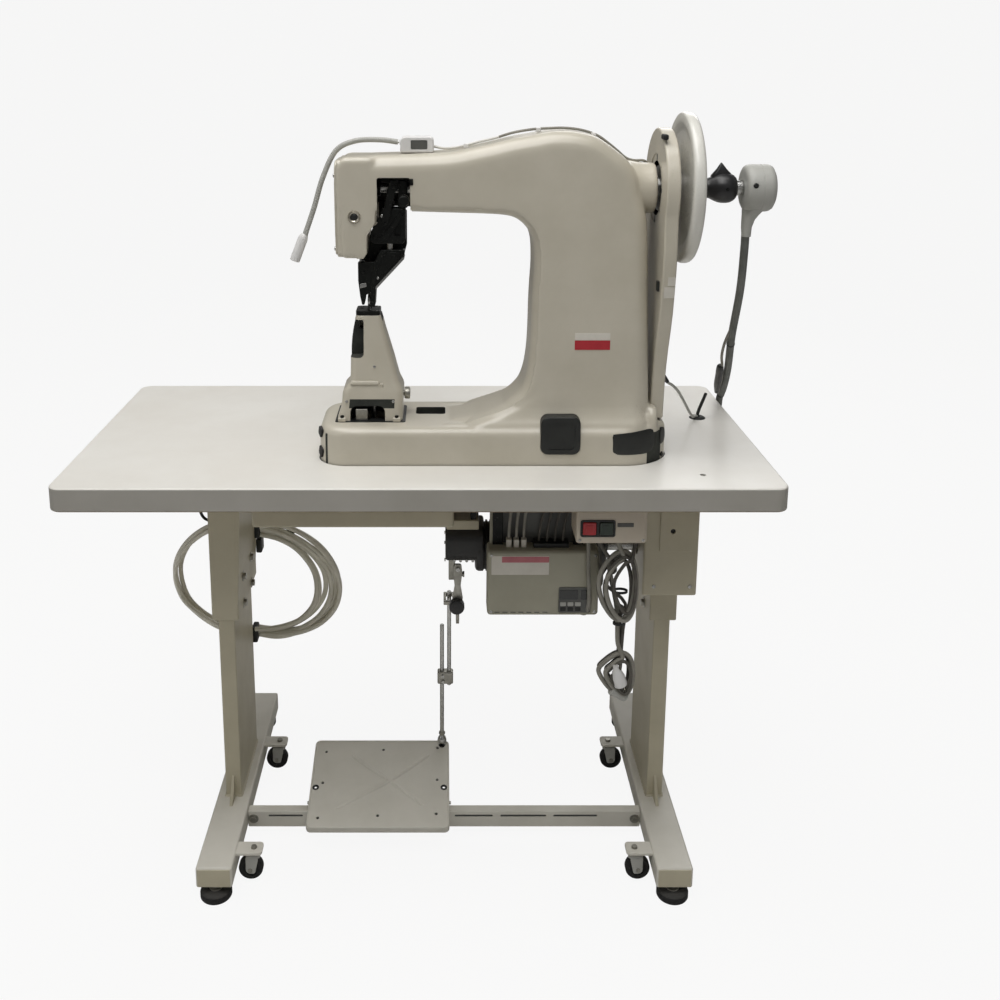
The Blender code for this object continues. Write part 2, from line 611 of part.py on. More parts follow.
presser = rod("z", 1126, 1240, PRESSER_X, PRESSER_Y, 5, 12)
part("presser_bar", presser, DARK, (PRESSER_X, PRESSER_Y, 1200))

# roller foot bracket: arm bored for the presser bar, with the roller pin
foot_bracket = prism([(-62, 1142), (-64, 1128), (-112, 1076), (-114, 1044), (-121.5, 1044),
                      (-121.5, 1060), (-119, 1092), (-114, 1120), (-104, 1142)],
                     "y", -137, -97)
cut(foot_bracket, box(-121, -55, -117, -92, 1085, 1150))
cut(foot_bracket, rod("z", 1100, 1150, PRESSER_X, PRESSER_Y, 5.4, 12))
join(foot_bracket, rod("x", -128.5, -118, HEAD_Y, ROLLER_Z, 2.5, 12))
part("roller_foot_bracket", foot_bracket, DARK, (PRESSER_X, PRESSER_Y, 1130))

roller = lathe([(3, -127.5), (13, -127.5), (14, -126.8), (14, -123.4), (13, -122.7),
                (3, -122.7)], "x", HEAD_Y, ROLLER_Z, 24, ring=True)
part("roller_foot", roller, STEEL, (ROLL_X, HEAD_Y, ROLLER_Z))

take_up = prism([(-70, 1247), (-73, 1259), (-84, 1260), (-89, 1250), (-101, 1188),
                 (-96, 1183), (-90, 1188), (-77, 1241)], "y", -149, -145)
cut(take_up, rod("y", -160, -140, -95.5, 1190, 2, 8))
part("take_up_lever", take_up, STEEL, (-79, -147, 1250))

tension = lathe([(0, -151), (4, -151), (4, -157), (9.5, -158), (9.5, -163), (5, -164),
                 (5, -169), (8, -170), (8, -176), (0, -176)], "y", -63, 1228, 16)
part("thread_tension", tension, STEEL, (-63, -160, 1228))

lifter = prism([(-52, 1231), (-66, 1231), (-70, 1224), (-66, 1215), (-112, 1170),
                (-118, 1160), (-108, 1158), (-52, 1213)], "y", -42, -35)
soften(lifter, 1.5)
join(lifter, rod("y", -42.6, -31, -60, 1223, 6, 12))
part("presser_lifter_lever", lifter, STEEL, (-60, -38, 1223))

# ----------------------------------------------------------------- post
# z, left x, right x, half depth, corner radius
POST_STATIONS = [
    (845.4, -181, -68, 46, 12), (868, -174, -68, 44, 14), (894, -172, -67, 42, 14),
    (914, -158, -75, 38, 12), (968, -157, -89, 33, 12), (1027, -148, -105, 25, 8)]
post = loft([[(x, y, z) for x, y in rounded_rect(x0, x1, HEAD_Y - half, HEAD_Y + half, radius)]
             for z, x0, x1, half, radius in POST_STATIONS])
# bore for the hook, then the top slot, a front left window and a low front opening
cut(post, rod("z", 835, 1008, HOOK_X, HEAD_Y, 17.5, 20))
cut(post, head_box(-142, -116, 17, 1000, 1040), box(-170, -134, -150, HEAD_Y - 4, 955, 1020),
    prism(rounded_rect(-158, -98, 830, 872, 10), "y", -160, HEAD_Y))
part("post_casting", post, CAST, (HOOK_X, HEAD_Y, 845))

plate = prism(rounded_rect(-147.5, -106, HEAD_Y - 24, HEAD_Y + 24, 7), "z", 1027.4, PLATE_Z)
cut(plate, rod("z", 1020, 1040, NEEDLE_X, HEAD_Y, 2.2, 10),
    head_box(ROLL_X - 3.3, ROLL_X + 3.3, 14, 1020, 1040))
part("needle_plate", plate, DARK, (NEEDLE_X, HEAD_Y, PLATE_Z))

feed = lathe([(0, -127), (14.2, -127), (14.2, -122), (3, -121.5), (3, -117), (0, -117)],
             "x", HEAD_Y, FEED_Z, 24)
part("feed_wheel", feed, STEEL, (ROLL_X, HEAD_Y, FEED_Z))

hook = lathe([(0, 800), (14, 800), (14, 812), (6, 813), (6, 970), (14, 974), (16.3, 980),
              (16.3, 1003), (13, 1003), (13, 986), (0, 986)], "z", HOOK_X, HEAD_Y, 18)
cut(hook, box(-140, -128, HEAD_Y, HEAD_Y + 30, 984, 1010))
part("rotary_hook", hook, STEEL, (HOOK_X, HEAD_Y, 980))

bobbin = lathe([(0, 986.5), (11.5, 986.5), (11.5, 988), (5, 988.3), (5, 998.7), (11.5, 999),
                (11.5, 1000.5), (0, 1000.5)], "z", HOOK_X, HEAD_Y, 20)
part("bobbin", bobbin, STEEL, (HOOK_X, HEAD_Y, 990))

low_shaft = lathe([(0, -134), (6, -134), (6, -131), (13.5, -130), (13.5, -108), (6, -107),
                   *timing_pulley(6), (6, 330), (0, 330)], "x", HEAD_Y, LOW_SHAFT_Z, 14)
part("lower_shaft", low_shaft, STEEL, (0, HEAD_Y, LOW_SHAFT_Z))

timing_belt = belt(TIMING_X, 10, (HEAD_Y, SHAFT_Z), 21.5, (HEAD_Y, LOW_SHAFT_Z), 21.5,
                   thick=2.5, steps=10)
part("timing_belt", timing_belt, RUBBER, (TIMING_X, HEAD_Y, 1000))

# ----------------------------------------------------------------- lamp
lamp = soften(box(-70, -13, -132, -94, 1303.5, 1330), 3)
part("lamp_box", lamp, WHITE, (-41, -113, 1303))

# gooseneck: (x, y, z) from the lamp box to the thicker end
gooseneck = curve_through([
    (-72.2, -112, 1320), (-105, -113, 1324), (-145, -114, 1323), (-181, -116, 1306),
    (-204, -118, 1262), (-219, -120, 1212), (-231, -122, 1172), (-234, -122, 1164),
    (-250, -124, 1120)], 3)
radii = [4.5] * (len(gooseneck) - 4) + [8.5] * 4
part("lamp_gooseneck", tube(gooseneck, radii, 8), WHITE, (-70.5, -112, 1320))

# ----------------------------------------------------------------- cables
hose = winding(-378, 128, 400, radius_x=168, radius_z=118, pitch=13, per_turn=18, steps=54,
               shrink=0.05, sway=8)
part("hose_coil", tube(hose, 5.5, 5), CABLE, (-378, 128, 518))

# cable bundle: two hanging coils, one below the other
bundle = [(300, -226, 666.6), (300, -228, 650)]
bundle += winding(302, -232, 575, radius_x=30, radius_z=60, pitch=11, per_turn=12, steps=24)
bundle += [(304, -208, 560), (305, -214, 470)]
bundle += winding(306, -226, 408, radius_x=30, radius_z=34, pitch=11, per_turn=12, steps=18)
part("cable_bundle", tube(bundle, 4.2, 5), CABLE, (300, -226, 667))
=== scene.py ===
"""Post-bed leather sewing machine on its stand: fine meshes and procedural materials
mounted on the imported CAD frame, with a studio floor, lights and camera.

Shapes are given in millimetres from the middle of the stand: +x to the operator's right
(handwheel end), -y towards the operator, +z up from the floor.  point() turns them into
the frame's metres.
"""
import json
import math

import bmesh
import bpy
from mathutils import Matrix, Vector

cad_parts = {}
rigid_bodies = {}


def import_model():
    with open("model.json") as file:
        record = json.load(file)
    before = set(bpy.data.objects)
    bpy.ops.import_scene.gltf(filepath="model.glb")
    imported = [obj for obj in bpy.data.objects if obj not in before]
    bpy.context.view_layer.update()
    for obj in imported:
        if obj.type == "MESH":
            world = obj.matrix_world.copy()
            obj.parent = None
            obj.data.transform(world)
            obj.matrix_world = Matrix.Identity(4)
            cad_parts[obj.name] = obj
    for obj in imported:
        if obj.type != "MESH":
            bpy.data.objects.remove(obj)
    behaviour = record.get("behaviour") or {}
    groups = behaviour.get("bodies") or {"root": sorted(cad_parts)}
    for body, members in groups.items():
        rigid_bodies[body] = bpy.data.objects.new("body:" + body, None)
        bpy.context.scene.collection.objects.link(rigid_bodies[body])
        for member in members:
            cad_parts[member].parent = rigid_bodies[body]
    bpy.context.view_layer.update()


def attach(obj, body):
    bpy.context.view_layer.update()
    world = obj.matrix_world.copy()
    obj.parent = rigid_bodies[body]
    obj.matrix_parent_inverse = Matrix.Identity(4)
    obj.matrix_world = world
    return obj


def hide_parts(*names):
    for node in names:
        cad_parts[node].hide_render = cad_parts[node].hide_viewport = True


for old in list(bpy.data.objects):
    bpy.data.objects.remove(old, do_unlink=True)

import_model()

# ================================================================= driving dimensions
MM = 0.001
STAND_X = 26.45                     # stand centre from the frame origin
HEAD_Y, SHAFT_Z = -105.0, 1243.0    # middle plane of the head, main shaft height
LOWER_Z = 785.0                     # lower shaft
NEEDLE_X, HOOK_X = -137.5, -119.0
BAR_X, BAR_Y = -88, -128            # presser bar
ROLLER_Z = 1050
BASE_HALF = 87.0                    # half width of the base, and radius of its right end
BASE_END_X = 306                    # centre of that round end
BASE_TIP_X = 389.0                  # where the round end is cut flat
MOTOR_Y, MOTOR_Z = -95.0, 592.0
BUTT_Z = 738.7                      # level at which parts meet the table underside
LEVER_Z = 535                       # treadle lever pivot
ROD_Y = 17.8                        # treadle rods
PEG_X, PEG_Y = 494, 75              # head rest peg
LEFT_LEG_X, RIGHT_LEG_X = -402.0, 410.0

HEAD = "table_and_head"
BASE = "stand_base"
FRONT, REAR = (0, -1, 0), (0, 1, 0)
LEFT, RIGHT = (-1, 0, 0), (1, 0, 0)
UP, DOWN = (0, 0, 1), (0, 0, -1)


def point(x, y, z):
    return Vector(((x + STAND_X) * MM, y * MM, z * MM))


# ================================================================= materials
def srgb(colour):
    """Linear RGBA from 0-255 display values."""
    out = []
    for c in colour:
        c /= 255.0
        out.append(c / 12.92 if c <= 0.04045 else ((c + 0.055) / 1.055) ** 2.4)
    return tuple(out) + (1.0,)


def add_node(tree, kind, inputs, **settings):
    """New shader node; an input given a socket is linked, any other is set."""
    node = tree.nodes.new("ShaderNode" + kind)
    for name, value in settings.items():
        setattr(node, name, value)
    for key, value in inputs.items():
        if isinstance(value, bpy.types.NodeSocket):
            tree.links.new(value, node.inputs[key])
        else:
            node.inputs[key].default_value = value
    return node


def add_ramp(tree, factor, start, stop, first, last):
    ramp = add_node(tree, "ValToRGB", {"Fac": factor})
    low, high = ramp.color_ramp.elements
    low.position, high.position = start, stop
    low.color, high.color = first, last
    return ramp.outputs["Color"]


def add_mix(tree, factor, under, over):
    mix = add_node(tree, "Mix", {"Factor": factor, "A": under, "B": over}, data_type="RGBA")
    return mix.outputs["Result"]


def surface(name, first, second, *, rough, metal=0.0, patch=40, grain=900, bump=0.3,
            depth=0.0002, coat=0.0, dust=0.0, specks=None, stretch=None, specular=0.5, sheen=0.0):
    """Principled material driven by layered noise in the frame's metres.

    Patch noise blends the first and second colours; grain noise drives the bump.
    specks is (noise scale, threshold, colour, strength); dust pales faces that look up.
    """
    mat = bpy.data.materials.new(name)
    mat.use_nodes = True
    tree = mat.node_tree
    shader = tree.nodes["Principled BSDF"]
    for key, value in (("Metallic", metal), ("Specular IOR Level", specular),
                       ("Coat Weight", coat), ("Coat Roughness", 0.18), ("Sheen Weight", sheen)):
        shader.inputs[key].default_value = value

    place_out = add_node(tree, "TexCoord", {}).outputs["Object"]
    grain_place = place_out
    if stretch:
        mapping = add_node(tree, "Mapping", {"Scale": stretch, "Vector": place_out})
        grain_place = mapping.outputs["Vector"]
    patches = add_node(tree, "TexNoise", {"Scale": patch, "Detail": 5.0, "Roughness": 0.62,
                                          "Vector": place_out}).outputs["Fac"]
    colour = add_ramp(tree, patches, 0.36, 0.66, srgb(first), srgb(second))
    grains = add_node(tree, "TexNoise", {"Scale": grain, "Detail": 3.0,
                                         "Vector": grain_place}).outputs["Fac"]
    if specks:
        scale, threshold, speck_colour, strength = specks
        spots = add_node(tree, "TexNoise", {"Scale": scale, "Detail": 2.0,
                                            "Vector": grain_place}).outputs["Fac"]
        mask = add_ramp(tree, spots, threshold, min(1.0, threshold + 0.07),
                        (0, 0, 0, 1), (strength, strength, strength, 1))
        colour = add_mix(tree, mask, colour, srgb(speck_colour))
    if dust:
        geometry = add_node(tree, "NewGeometry", {})
        split = add_node(tree, "SeparateXYZ", {"Vector": geometry.outputs["Normal"]})
        upward = add_node(tree, "MapRange", {"From Min": 0.55, "From Max": 1.0, "To Max": dust,
                                             "Value": split.outputs["Z"]})
        amount = add_node(tree, "Math", {0: upward.outputs["Result"], 1: patches},
                          operation="MULTIPLY")
        colour = add_mix(tree, amount.outputs["Value"], colour, srgb((196, 192, 182)))
    tree.links.new(colour, shader.inputs["Base Color"])

    # roughness follows the mean of both noises
    mean = add_node(tree, "Math", {0: patches, 1: 0.5}, operation="MULTIPLY_ADD")
    half = add_node(tree, "Math", {0: grains, 1: 0.5}, operation="MULTIPLY")
    tree.links.new(half.outputs["Value"], mean.inputs[2])
    roughness = add_node(tree, "MapRange", {
        "From Min": 0.35, "From Max": 0.65, "To Min": rough[0], "To Max": rough[1],
        "Value": mean.outputs["Value"]})
    tree.links.new(roughness.outputs["Result"], shader.inputs["Roughness"])
    relief = add_node(tree, "Bump", {"Strength": bump, "Distance": depth, "Height": grains})
    tree.links.new(relief.outputs["Normal"], shader.inputs["Normal"])
    mat.diffuse_color = srgb(first)
    return mat


# painted metal
CAST = surface("cast_enamel", (199, 193, 178), (190, 184, 168), rough=(0.26, 0.42), patch=7,
               grain=420, bump=0.22, depth=0.0003, coat=0.35, dust=0.35,
               specks=(520, 0.72, (168, 163, 148), 0.35))
CAST_INSIDE = surface("raw_cast_interior", (44, 47, 41), (30, 33, 29), rough=(0.6, 0.8), patch=30,
                      grain=500, bump=0.6, depth=0.0006, dust=0.1)
STAND = surface("stand_powder_coat", (190, 183, 160), (180, 173, 150), rough=(0.38, 0.55), patch=8,
                grain=1300, bump=0.35, depth=0.00025, coat=0.12, dust=0.35,
                specks=(700, 0.7, (160, 155, 140), 0.4))
PINK = surface("faded_red_band", (188, 112, 118), (178, 102, 110), rough=(0.35, 0.5), bump=0.1,
               depth=0.0001)
SWITCH_BEIGE = surface("switch_box_beige", (196, 186, 170), (186, 176, 160), rough=(0.35, 0.5),
                       patch=12, grain=1200)
# paler copy of the stand coat for feet, tabs, cross brace and pedal: painted light on the low
# parts
STAND_LIT_COPY = surface("stand_coat_painted_light", (218, 215, 205), (208, 205, 194), rough=(0.38, 0.55),
                     patch=8, grain=1300, bump=0.35, depth=0.0003)
STRAP = surface("strap_grey_jacket", (116, 118, 114), (100, 102, 98), rough=(0.5, 0.65), patch=30,
                bump=0.4, depth=0.0003)
# table
LAMINATE = surface("table_laminate_top", (228, 226, 220), (222, 219, 212), rough=(0.3, 0.42),
                   patch=5, grain=1600, depth=0.00015, coat=0.1,
                   specks=(900, 0.7, (196, 193, 186), 0.5))
# darker copy of the laminate for the top's edges and sides: painted shade on the faces that turn
# away from the overhead light
TABLE_SIDE_SHADE = surface("table_laminate_painted_shade", (168, 165, 158), (160, 157, 149), rough=(0.4, 0.55), patch=6,
               specks=(800, 0.7, (144, 141, 133), 0.4))
BOARD = surface("table_board_underside", (150, 132, 104), (128, 111, 86), rough=(0.6, 0.8),
                patch=25, grain=500, bump=0.6, depth=0.0005, specks=(260, 0.6, (92, 78, 58), 0.6))
WHITE = surface("white_enamel", (222, 221, 214), (214, 212, 204), rough=(0.22, 0.36), patch=9,
                grain=700, bump=0.2, coat=0.4, dust=0.15)
LAMP_WHITE = surface("lamp_white_plastic", (226, 225, 224), (218, 217, 215), rough=(0.35, 0.5),
                     patch=12, grain=1500, depth=0.0001)
# bare metal
STEEL = surface("bright_steel", (196, 196, 194), (172, 172, 169), rough=(0.16, 0.34), metal=1,
                bump=0.15, depth=0.0001, specks=(300, 0.68, (120, 116, 108), 0.4))
TURNED = surface("turned_steel", (188, 188, 186), (165, 165, 162), rough=(0.2, 0.35), metal=1,
                 patch=50, grain=1400, depth=0.0001, stretch=(8, 1, 1))
OXIDE = surface("black_oxide_steel", (34, 36, 34), (24, 25, 24), rough=(0.28, 0.5), metal=0.7,
                grain=700, specks=(260, 0.66, (92, 92, 88), 0.5))
# plastic, rubber and cable
BLACK = surface("black_plastic", (30, 32, 31), (22, 24, 23), rough=(0.4, 0.55), patch=20,
                grain=1200, bump=0.5)
MOTOR_BLACK = surface("motor_black_enamel", (36, 36, 35), (26, 26, 26), rough=(0.35, 0.55),
                      patch=20, grain=800, bump=0.4, depth=0.0003, dust=0.15, coat=0.1)
RUBBER = surface("black_rubber", (30, 30, 30), (20, 20, 20), rough=(0.65, 0.85), patch=30,
                 bump=0.6, depth=0.0003, dust=0.12)
BELT = surface("belt_rubber", (28, 28, 28), (40, 39, 38), rough=(0.6, 0.8), patch=60, grain=1200,
               bump=0.7, depth=0.0004)
GREY = surface("grey_plastic", (178, 178, 173), (168, 168, 162), rough=(0.4, 0.52), patch=14,
               grain=1100, bump=0.4, dust=0.1)
BOX_GREY = surface("control_box_grey", (166, 163, 146), (156, 153, 136), rough=(0.4, 0.55),
                   patch=10, grain=1400, bump=0.5, depth=0.0003, dust=0.2,
                   specks=(900, 0.7, (138, 136, 124), 0.4))
DARK_GREY = surface("dark_grey_panel", (92, 93, 90), (80, 81, 78), rough=(0.4, 0.6), patch=14,
                    grain=1100, bump=0.4)
CABLE = surface("grey_cable_jacket", (146, 143, 134), (132, 129, 120), rough=(0.5, 0.65),
                bump=0.5, depth=0.0003)
DARK_CABLE = surface("dark_cable_jacket", (88, 85, 78), (72, 69, 63), rough=(0.5, 0.65),
                     bump=0.5, depth=0.0003)
HOSE = surface("pale_pvc_hose", (236, 233, 220), (224, 221, 206), rough=(0.3, 0.45), patch=30,
               depth=0.0003, coat=0.3)
WHITE_CABLE = surface("white_cable_jacket", (214, 213, 208), (204, 202, 196), rough=(0.4, 0.55),
                      patch=30)
RED = surface("red_button_plastic", (176, 32, 38), (160, 26, 32), rough=(0.28, 0.4), grain=1200,
              depth=0.0001, coat=0.2)
GREEN = surface("dark_green_button_plastic", (38, 54, 42), (28, 42, 33), rough=(0.28, 0.4),
                grain=1200, depth=0.0001, coat=0.2)
LABEL = surface("blank_label", (214, 210, 200), (206, 202, 192), rough=(0.35, 0.5), bump=0.1,
                depth=0.0001)
RED_LABEL = surface("red_label_band", (182, 44, 54), (170, 38, 48), rough=(0.35, 0.5), bump=0.1,
                    depth=0.0001)
DISPLAY = surface("display_window", (22, 26, 28), (14, 17, 19), rough=(0.08, 0.16), patch=20,
                  grain=300, bump=0.02, depth=0.0001, coat=0.6)
ZINC = surface("zinc_plate", (176, 174, 166), (150, 148, 140), rough=(0.3, 0.5), metal=0.9,
               patch=60, grain=700)
PHENOLIC = surface("black_phenolic", (20, 20, 22), (28, 28, 30), rough=(0.3, 0.42), patch=30,
                   bump=0.2, coat=0.15)
BRASS = surface("brass_lens_ring", (202, 196, 182), (188, 182, 168), rough=(0.15, 0.3), metal=1,
                patch=60, bump=0.2, depth=0.0001)
THREAD = surface("polyester_thread", (62, 60, 56), (44, 42, 40), rough=(0.5, 0.7), patch=60,
                 grain=2500, bump=1.0, depth=0.0003, stretch=(0.2, 0.2, 3), sheen=0.3)
LENS = surface("led_lens", (236, 236, 228), (228, 228, 220), rough=(0.1, 0.2), patch=30,
               grain=400, bump=0.1, depth=0.0001, coat=0.6)


# ================================================================= outlines
def arc(u, w, radius, degrees):
    """Points on a circle at each of the angles."""
    return [(u + radius * math.cos(math.radians(a)), w + radius * math.sin(math.radians(a)))
            for a in degrees]


def curve_through(points, per=8):
    """Smooth run through the points, with so many steps between each two."""
    pts = [Vector(p) for p in points]
    out = []
    for i in range(len(pts) - 1):
        a, b, c, d = pts[max(i - 1, 0)], pts[i], pts[i + 1], pts[min(i + 2, len(pts) - 1)]
        for k in range(per):
            t = k / per
            out.append(0.5 * ((2 * b) + (c - a) * t + (2 * a - 5 * b + 4 * c - d) * t * t
                              + (3 * b - a - 3 * c + d) * t ** 3))
    out.append(pts[-1])
    return out


def smooth_run(points, per):
    """2-D outline through the points."""
    return [(p.x, p.y) for p in curve_through([(u, w, 0) for u, w in points], per)]


def fillet(points, radius=0.0, steps=6):
    """Closed outline with rounded corners; a point is (u, w) or (u, w, own radius)."""
    out = []
    for i, p in enumerate(points):
        wanted = p[2] if len(p) > 2 else radius
        corner = Vector(p[:2])
        if wanted <= 0:
            out.append((corner.x, corner.y))
            continue
        back = Vector(points[i - 1][:2]) - corner
        ahead = Vector(points[(i + 1) % len(points)][:2]) - corner
        back_length, ahead_length = back.length, ahead.length
        back.normalize()
        ahead.normalize()
        angle = back.angle(ahead)
        if angle > math.pi - 0.02:
            out.append((corner.x, corner.y))
            continue
        reach = min(wanted / math.tan(angle / 2), back_length * 0.49, ahead_length * 0.49)
        real = reach * math.tan(angle / 2)
        centre = corner + (back + ahead).normalized() * (real / math.sin(angle / 2))
        start = corner + back * reach - centre
        end = corner + ahead * reach - centre
        first = math.atan2(start.y, start.x)
        sweep = (math.atan2(end.y, end.x) - first + math.pi) % (2 * math.pi) - math.pi
        for k in range(steps + 1):
            a = first + sweep * k / steps
            out.append((centre.x + real * math.cos(a), centre.y + real * math.sin(a)))
    return out


def rounded(u0, u1, w0, w1, radius, steps=8):
    """Rectangle with equal round corners."""
    return fillet([(u1, w1), (u0, w1), (u0, w0), (u1, w0)], radius, steps)


# ================================================================= mesh tools
def from_bmesh(bm, name="part", recalc=True):
    if recalc:
        bmesh.ops.recalc_face_normals(bm, faces=bm.faces)
    mesh = bpy.data.meshes.new(name)
    bm.to_mesh(mesh)
    bm.free()
    ob = bpy.data.objects.new(name, mesh)
    bpy.context.scene.collection.objects.link(ob)
    return ob


def box(x0, x1, y0, y1, z0, z1):
    bm = bmesh.new()
    verts = [bm.verts.new(point(x, y, z)) for x in (x0, x1) for y in (y0, y1) for z in (z0, z1)]
    for face in ((0, 1, 3, 2), (4, 6, 7, 5), (0, 4, 5, 1), (2, 3, 7, 6), (0, 2, 6, 4),
                 (1, 5, 7, 3)):
        bm.faces.new([verts[i] for i in face])
    return from_bmesh(bm)


def place(axis, along, u, w):
    """Point at a position along an axis; u and w are the other two axes in xyz order."""
    return point(*{"x": (along, u, w), "y": (u, along, w), "z": (u, w, along)}[axis])


def prism(outline, axis, start, end):
    bm = bmesh.new()
    low = [bm.verts.new(place(axis, start, u, w)) for u, w in outline]
    high = [bm.verts.new(place(axis, end, u, w)) for u, w in outline]
    n = len(outline)
    bm.faces.new(low)
    bm.faces.new(high[::-1])
    for i in range(n):
        bm.faces.new([low[i], high[i], high[(i + 1) % n], low[(i + 1) % n]])
    return from_bmesh(bm)


def lathe(profile, axis, u, w, segs=64, ring=False):
    """Profile of (radius, position) turned about the axis through (u, w)."""
    bm = bmesh.new()
    rows = []
    for r, along in profile:
        if r < 1e-6:
            rows.append([bm.verts.new(place(axis, along, u, w))])
            continue
        turns = [2 * math.pi * k / segs for k in range(segs)]
        rows.append([bm.verts.new(place(axis, along, u + r * math.cos(a), w + r * math.sin(a)))
                     for a in turns])
    for p, q in list(zip(rows, rows[1:])) + ([(rows[-1], rows[0])] if ring else []):
        for k in range(segs):
            j = (k + 1) % segs
            if len(p) == 1 and len(q) > 1:
                bm.faces.new([p[0], q[k], q[j]])
            elif len(q) == 1 and len(p) > 1:
                bm.faces.new([p[k], p[j], q[0]])
            elif len(p) > 1:
                bm.faces.new([p[k], p[j], q[j], q[k]])
    return from_bmesh(bm)


def rod(axis, start, end, u, w, r, segs=32, chamfer=0.0):
    if chamfer:
        return lathe([(0, start), (r - chamfer, start), (r, start + chamfer), (r, end - chamfer),
                      (r - chamfer, end), (0, end)], axis, u, w, segs)
    return lathe([(0, start), (r, start), (r, end), (0, end)], axis, u, w, segs)


def loft(sections):
    """Closed skin over sections of equal point count."""
    bm = bmesh.new()
    rows = [[bm.verts.new(point(*p)) for p in section] for section in sections]
    bm.faces.new(rows[0])
    bm.faces.new(rows[-1][::-1])
    n = len(rows[0])
    for p, q in zip(rows, rows[1:]):
        for k in range(n):
            j = (k + 1) % n
            bm.faces.new([p[k], p[j], q[j], q[k]])
    return from_bmesh(bm)


def tube(points, radius, sides=14, flat=1.0, round_ends=True):
    """Round or flattened bar along the points, with domed ends unless told otherwise."""
    pts = [Vector(p) for p in points]
    radii = list(radius) if isinstance(radius, (list, tuple)) else [radius] * len(pts)
    if round_ends:
        first, last = pts[0], pts[-1]
        away, onward = (pts[1] - first).normalized(), (last - pts[-2]).normalized()
        before, after, before_radii, after_radii = [], [], [], []
        for f in (0.0, 0.3, 0.7):
            widen = max(0.12, math.sin(f * math.pi / 2))
            reach = math.cos(f * math.pi / 2)
            before.append(first - away * radii[0] * reach * 0.5)
            before_radii.append(widen * radii[0])
            after.append(last + onward * radii[-1] * reach * 0.5)
            after_radii.append(widen * radii[-1])
        pts = before + pts + after[::-1]
        radii = before_radii + radii + after_radii[::-1]
    sections = []
    normal = None
    for i, p in enumerate(pts):
        t = (pts[min(i + 1, len(pts) - 1)] - pts[max(i - 1, 0)]).normalized()
        if normal is None:
            normal = Vector((0, 1, 0)) if abs(t.y) < 0.9 else Vector((1, 0, 0))
        normal = (normal - t * normal.dot(t)).normalized()
        side = t.cross(normal)
        turns = [2 * math.pi * k / sides for k in range(sides)]
        sections.append([p + radii[i] * (math.cos(a) * normal + flat * math.sin(a) * side)
                         for a in turns])
    return loft(sections)


def apply_mods(ob):
    graph = bpy.context.evaluated_depsgraph_get()
    mesh = bpy.data.meshes.new_from_object(ob.evaluated_get(graph))
    ob.modifiers.clear()
    ob.data = mesh
    return ob


def remove(*obs):
    for ob in obs:
        bpy.data.objects.remove(ob, do_unlink=True)


def combine(ob, tools, operation, solver="EXACT"):
    for tool in tools:
        mod = ob.modifiers.new("combine", "BOOLEAN")
        mod.operation = operation
        mod.object = tool
        mod.solver = solver
    apply_mods(ob)
    remove(*tools)
    return ob


def cut(ob, *tools):
    return combine(ob, tools, "DIFFERENCE")


def join(ob, *tools):
    return combine(ob, tools, "UNION")


def soften(ob, width, segs=3, angle=35, clamp=True):
    """Rounds the edges sharper than the angle."""
    mod = ob.modifiers.new("bevel", "BEVEL")
    mod.width = width * MM
    mod.segments = segs
    mod.limit_method = "ANGLE"
    mod.angle_limit = math.radians(angle)
    mod.use_clamp_overlap = clamp
    return apply_mods(ob)


def shift(x, y, z):
    return Matrix.Translation((x * MM, y * MM, z * MM))


def turn_to(ob, pos, direction):
    """Moves a piece built at the stand's origin, pointing up, to pos along direction."""
    turn = Vector(UP).rotation_difference(Vector(direction).normalized()).to_matrix().to_4x4()
    ob.data.transform(Matrix.Translation(point(*pos)) @ turn
                      @ Matrix.Translation(-point(0, 0, 0)))
    return ob


def merge(*obs):
    """One object from several, each already holding its own material."""
    mats = []
    bm = bmesh.new()
    for ob in obs:
        remap = []
        for mat in ob.data.materials:
            if mat not in mats:
                mats.append(mat)
            remap.append(mats.index(mat))
        start = len(bm.faces)
        bm.from_mesh(ob.data)
        bm.faces.ensure_lookup_table()
        for face in bm.faces[start:]:
            face.material_index = remap[face.material_index] if remap else 0
    mesh = bpy.data.meshes.new("merged")
    bm.to_mesh(mesh)
    bm.free()
    for mat in mats:
        mesh.materials.append(mat)
    remove(*obs[1:])
    obs[0].data = mesh
    return obs[0]


def paint(ob, mat):
    ob.data.materials.clear()
    ob.data.materials.append(mat)
    return ob


def zone(ob, mat, test):
    """Faces whose centre (in stand mm) and normal pass the test take another material."""
    ob.data.materials.append(mat)
    index = len(ob.data.materials) - 1
    for face in ob.data.polygons:
        c = face.center / MM
        if test(c.x - STAND_X, c.y, c.z, face.normal):
            face.material_index = index
    return ob


def soft_box(mat, bounds, width, segs=3):
    return paint(soften(box(*bounds), width, segs), mat)


def soft_prism(mat, outline, axis, start, end, width, segs=3):
    return paint(soften(prism(outline, axis, start, end), width, segs), mat)


def spun(mat, profile, axis, u, w, segs=64, ring=False):
    return paint(lathe(profile, axis, u, w, segs, ring), mat)


def run(mat, points, per, radius, sides=14, flat=1.0):
    """Cable or wire along a smooth path."""
    return paint(tube(curve_through(points, per), radius, sides, flat), mat)


def piece(name, ob, body, *nodes, mat=None, slot=None, sharp=38, weighted=True):
    """Names, shades and mounts a finished mesh on its CAD body."""
    if mat:
        paint(ob, mat)
    ob.name = name
    ob.data.name = name
    ob.data.shade_smooth()
    ob.data.set_sharp_from_angle(angle=math.radians(sharp))
    if weighted:
        mod = ob.modifiers.new("weighted", "WEIGHTED_NORMAL")
        mod.keep_sharp = True
        mod.weight = 80
        apply_mods(ob)
        ob.data.name = name
    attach(ob, body)
    if nodes:
        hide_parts(*nodes)


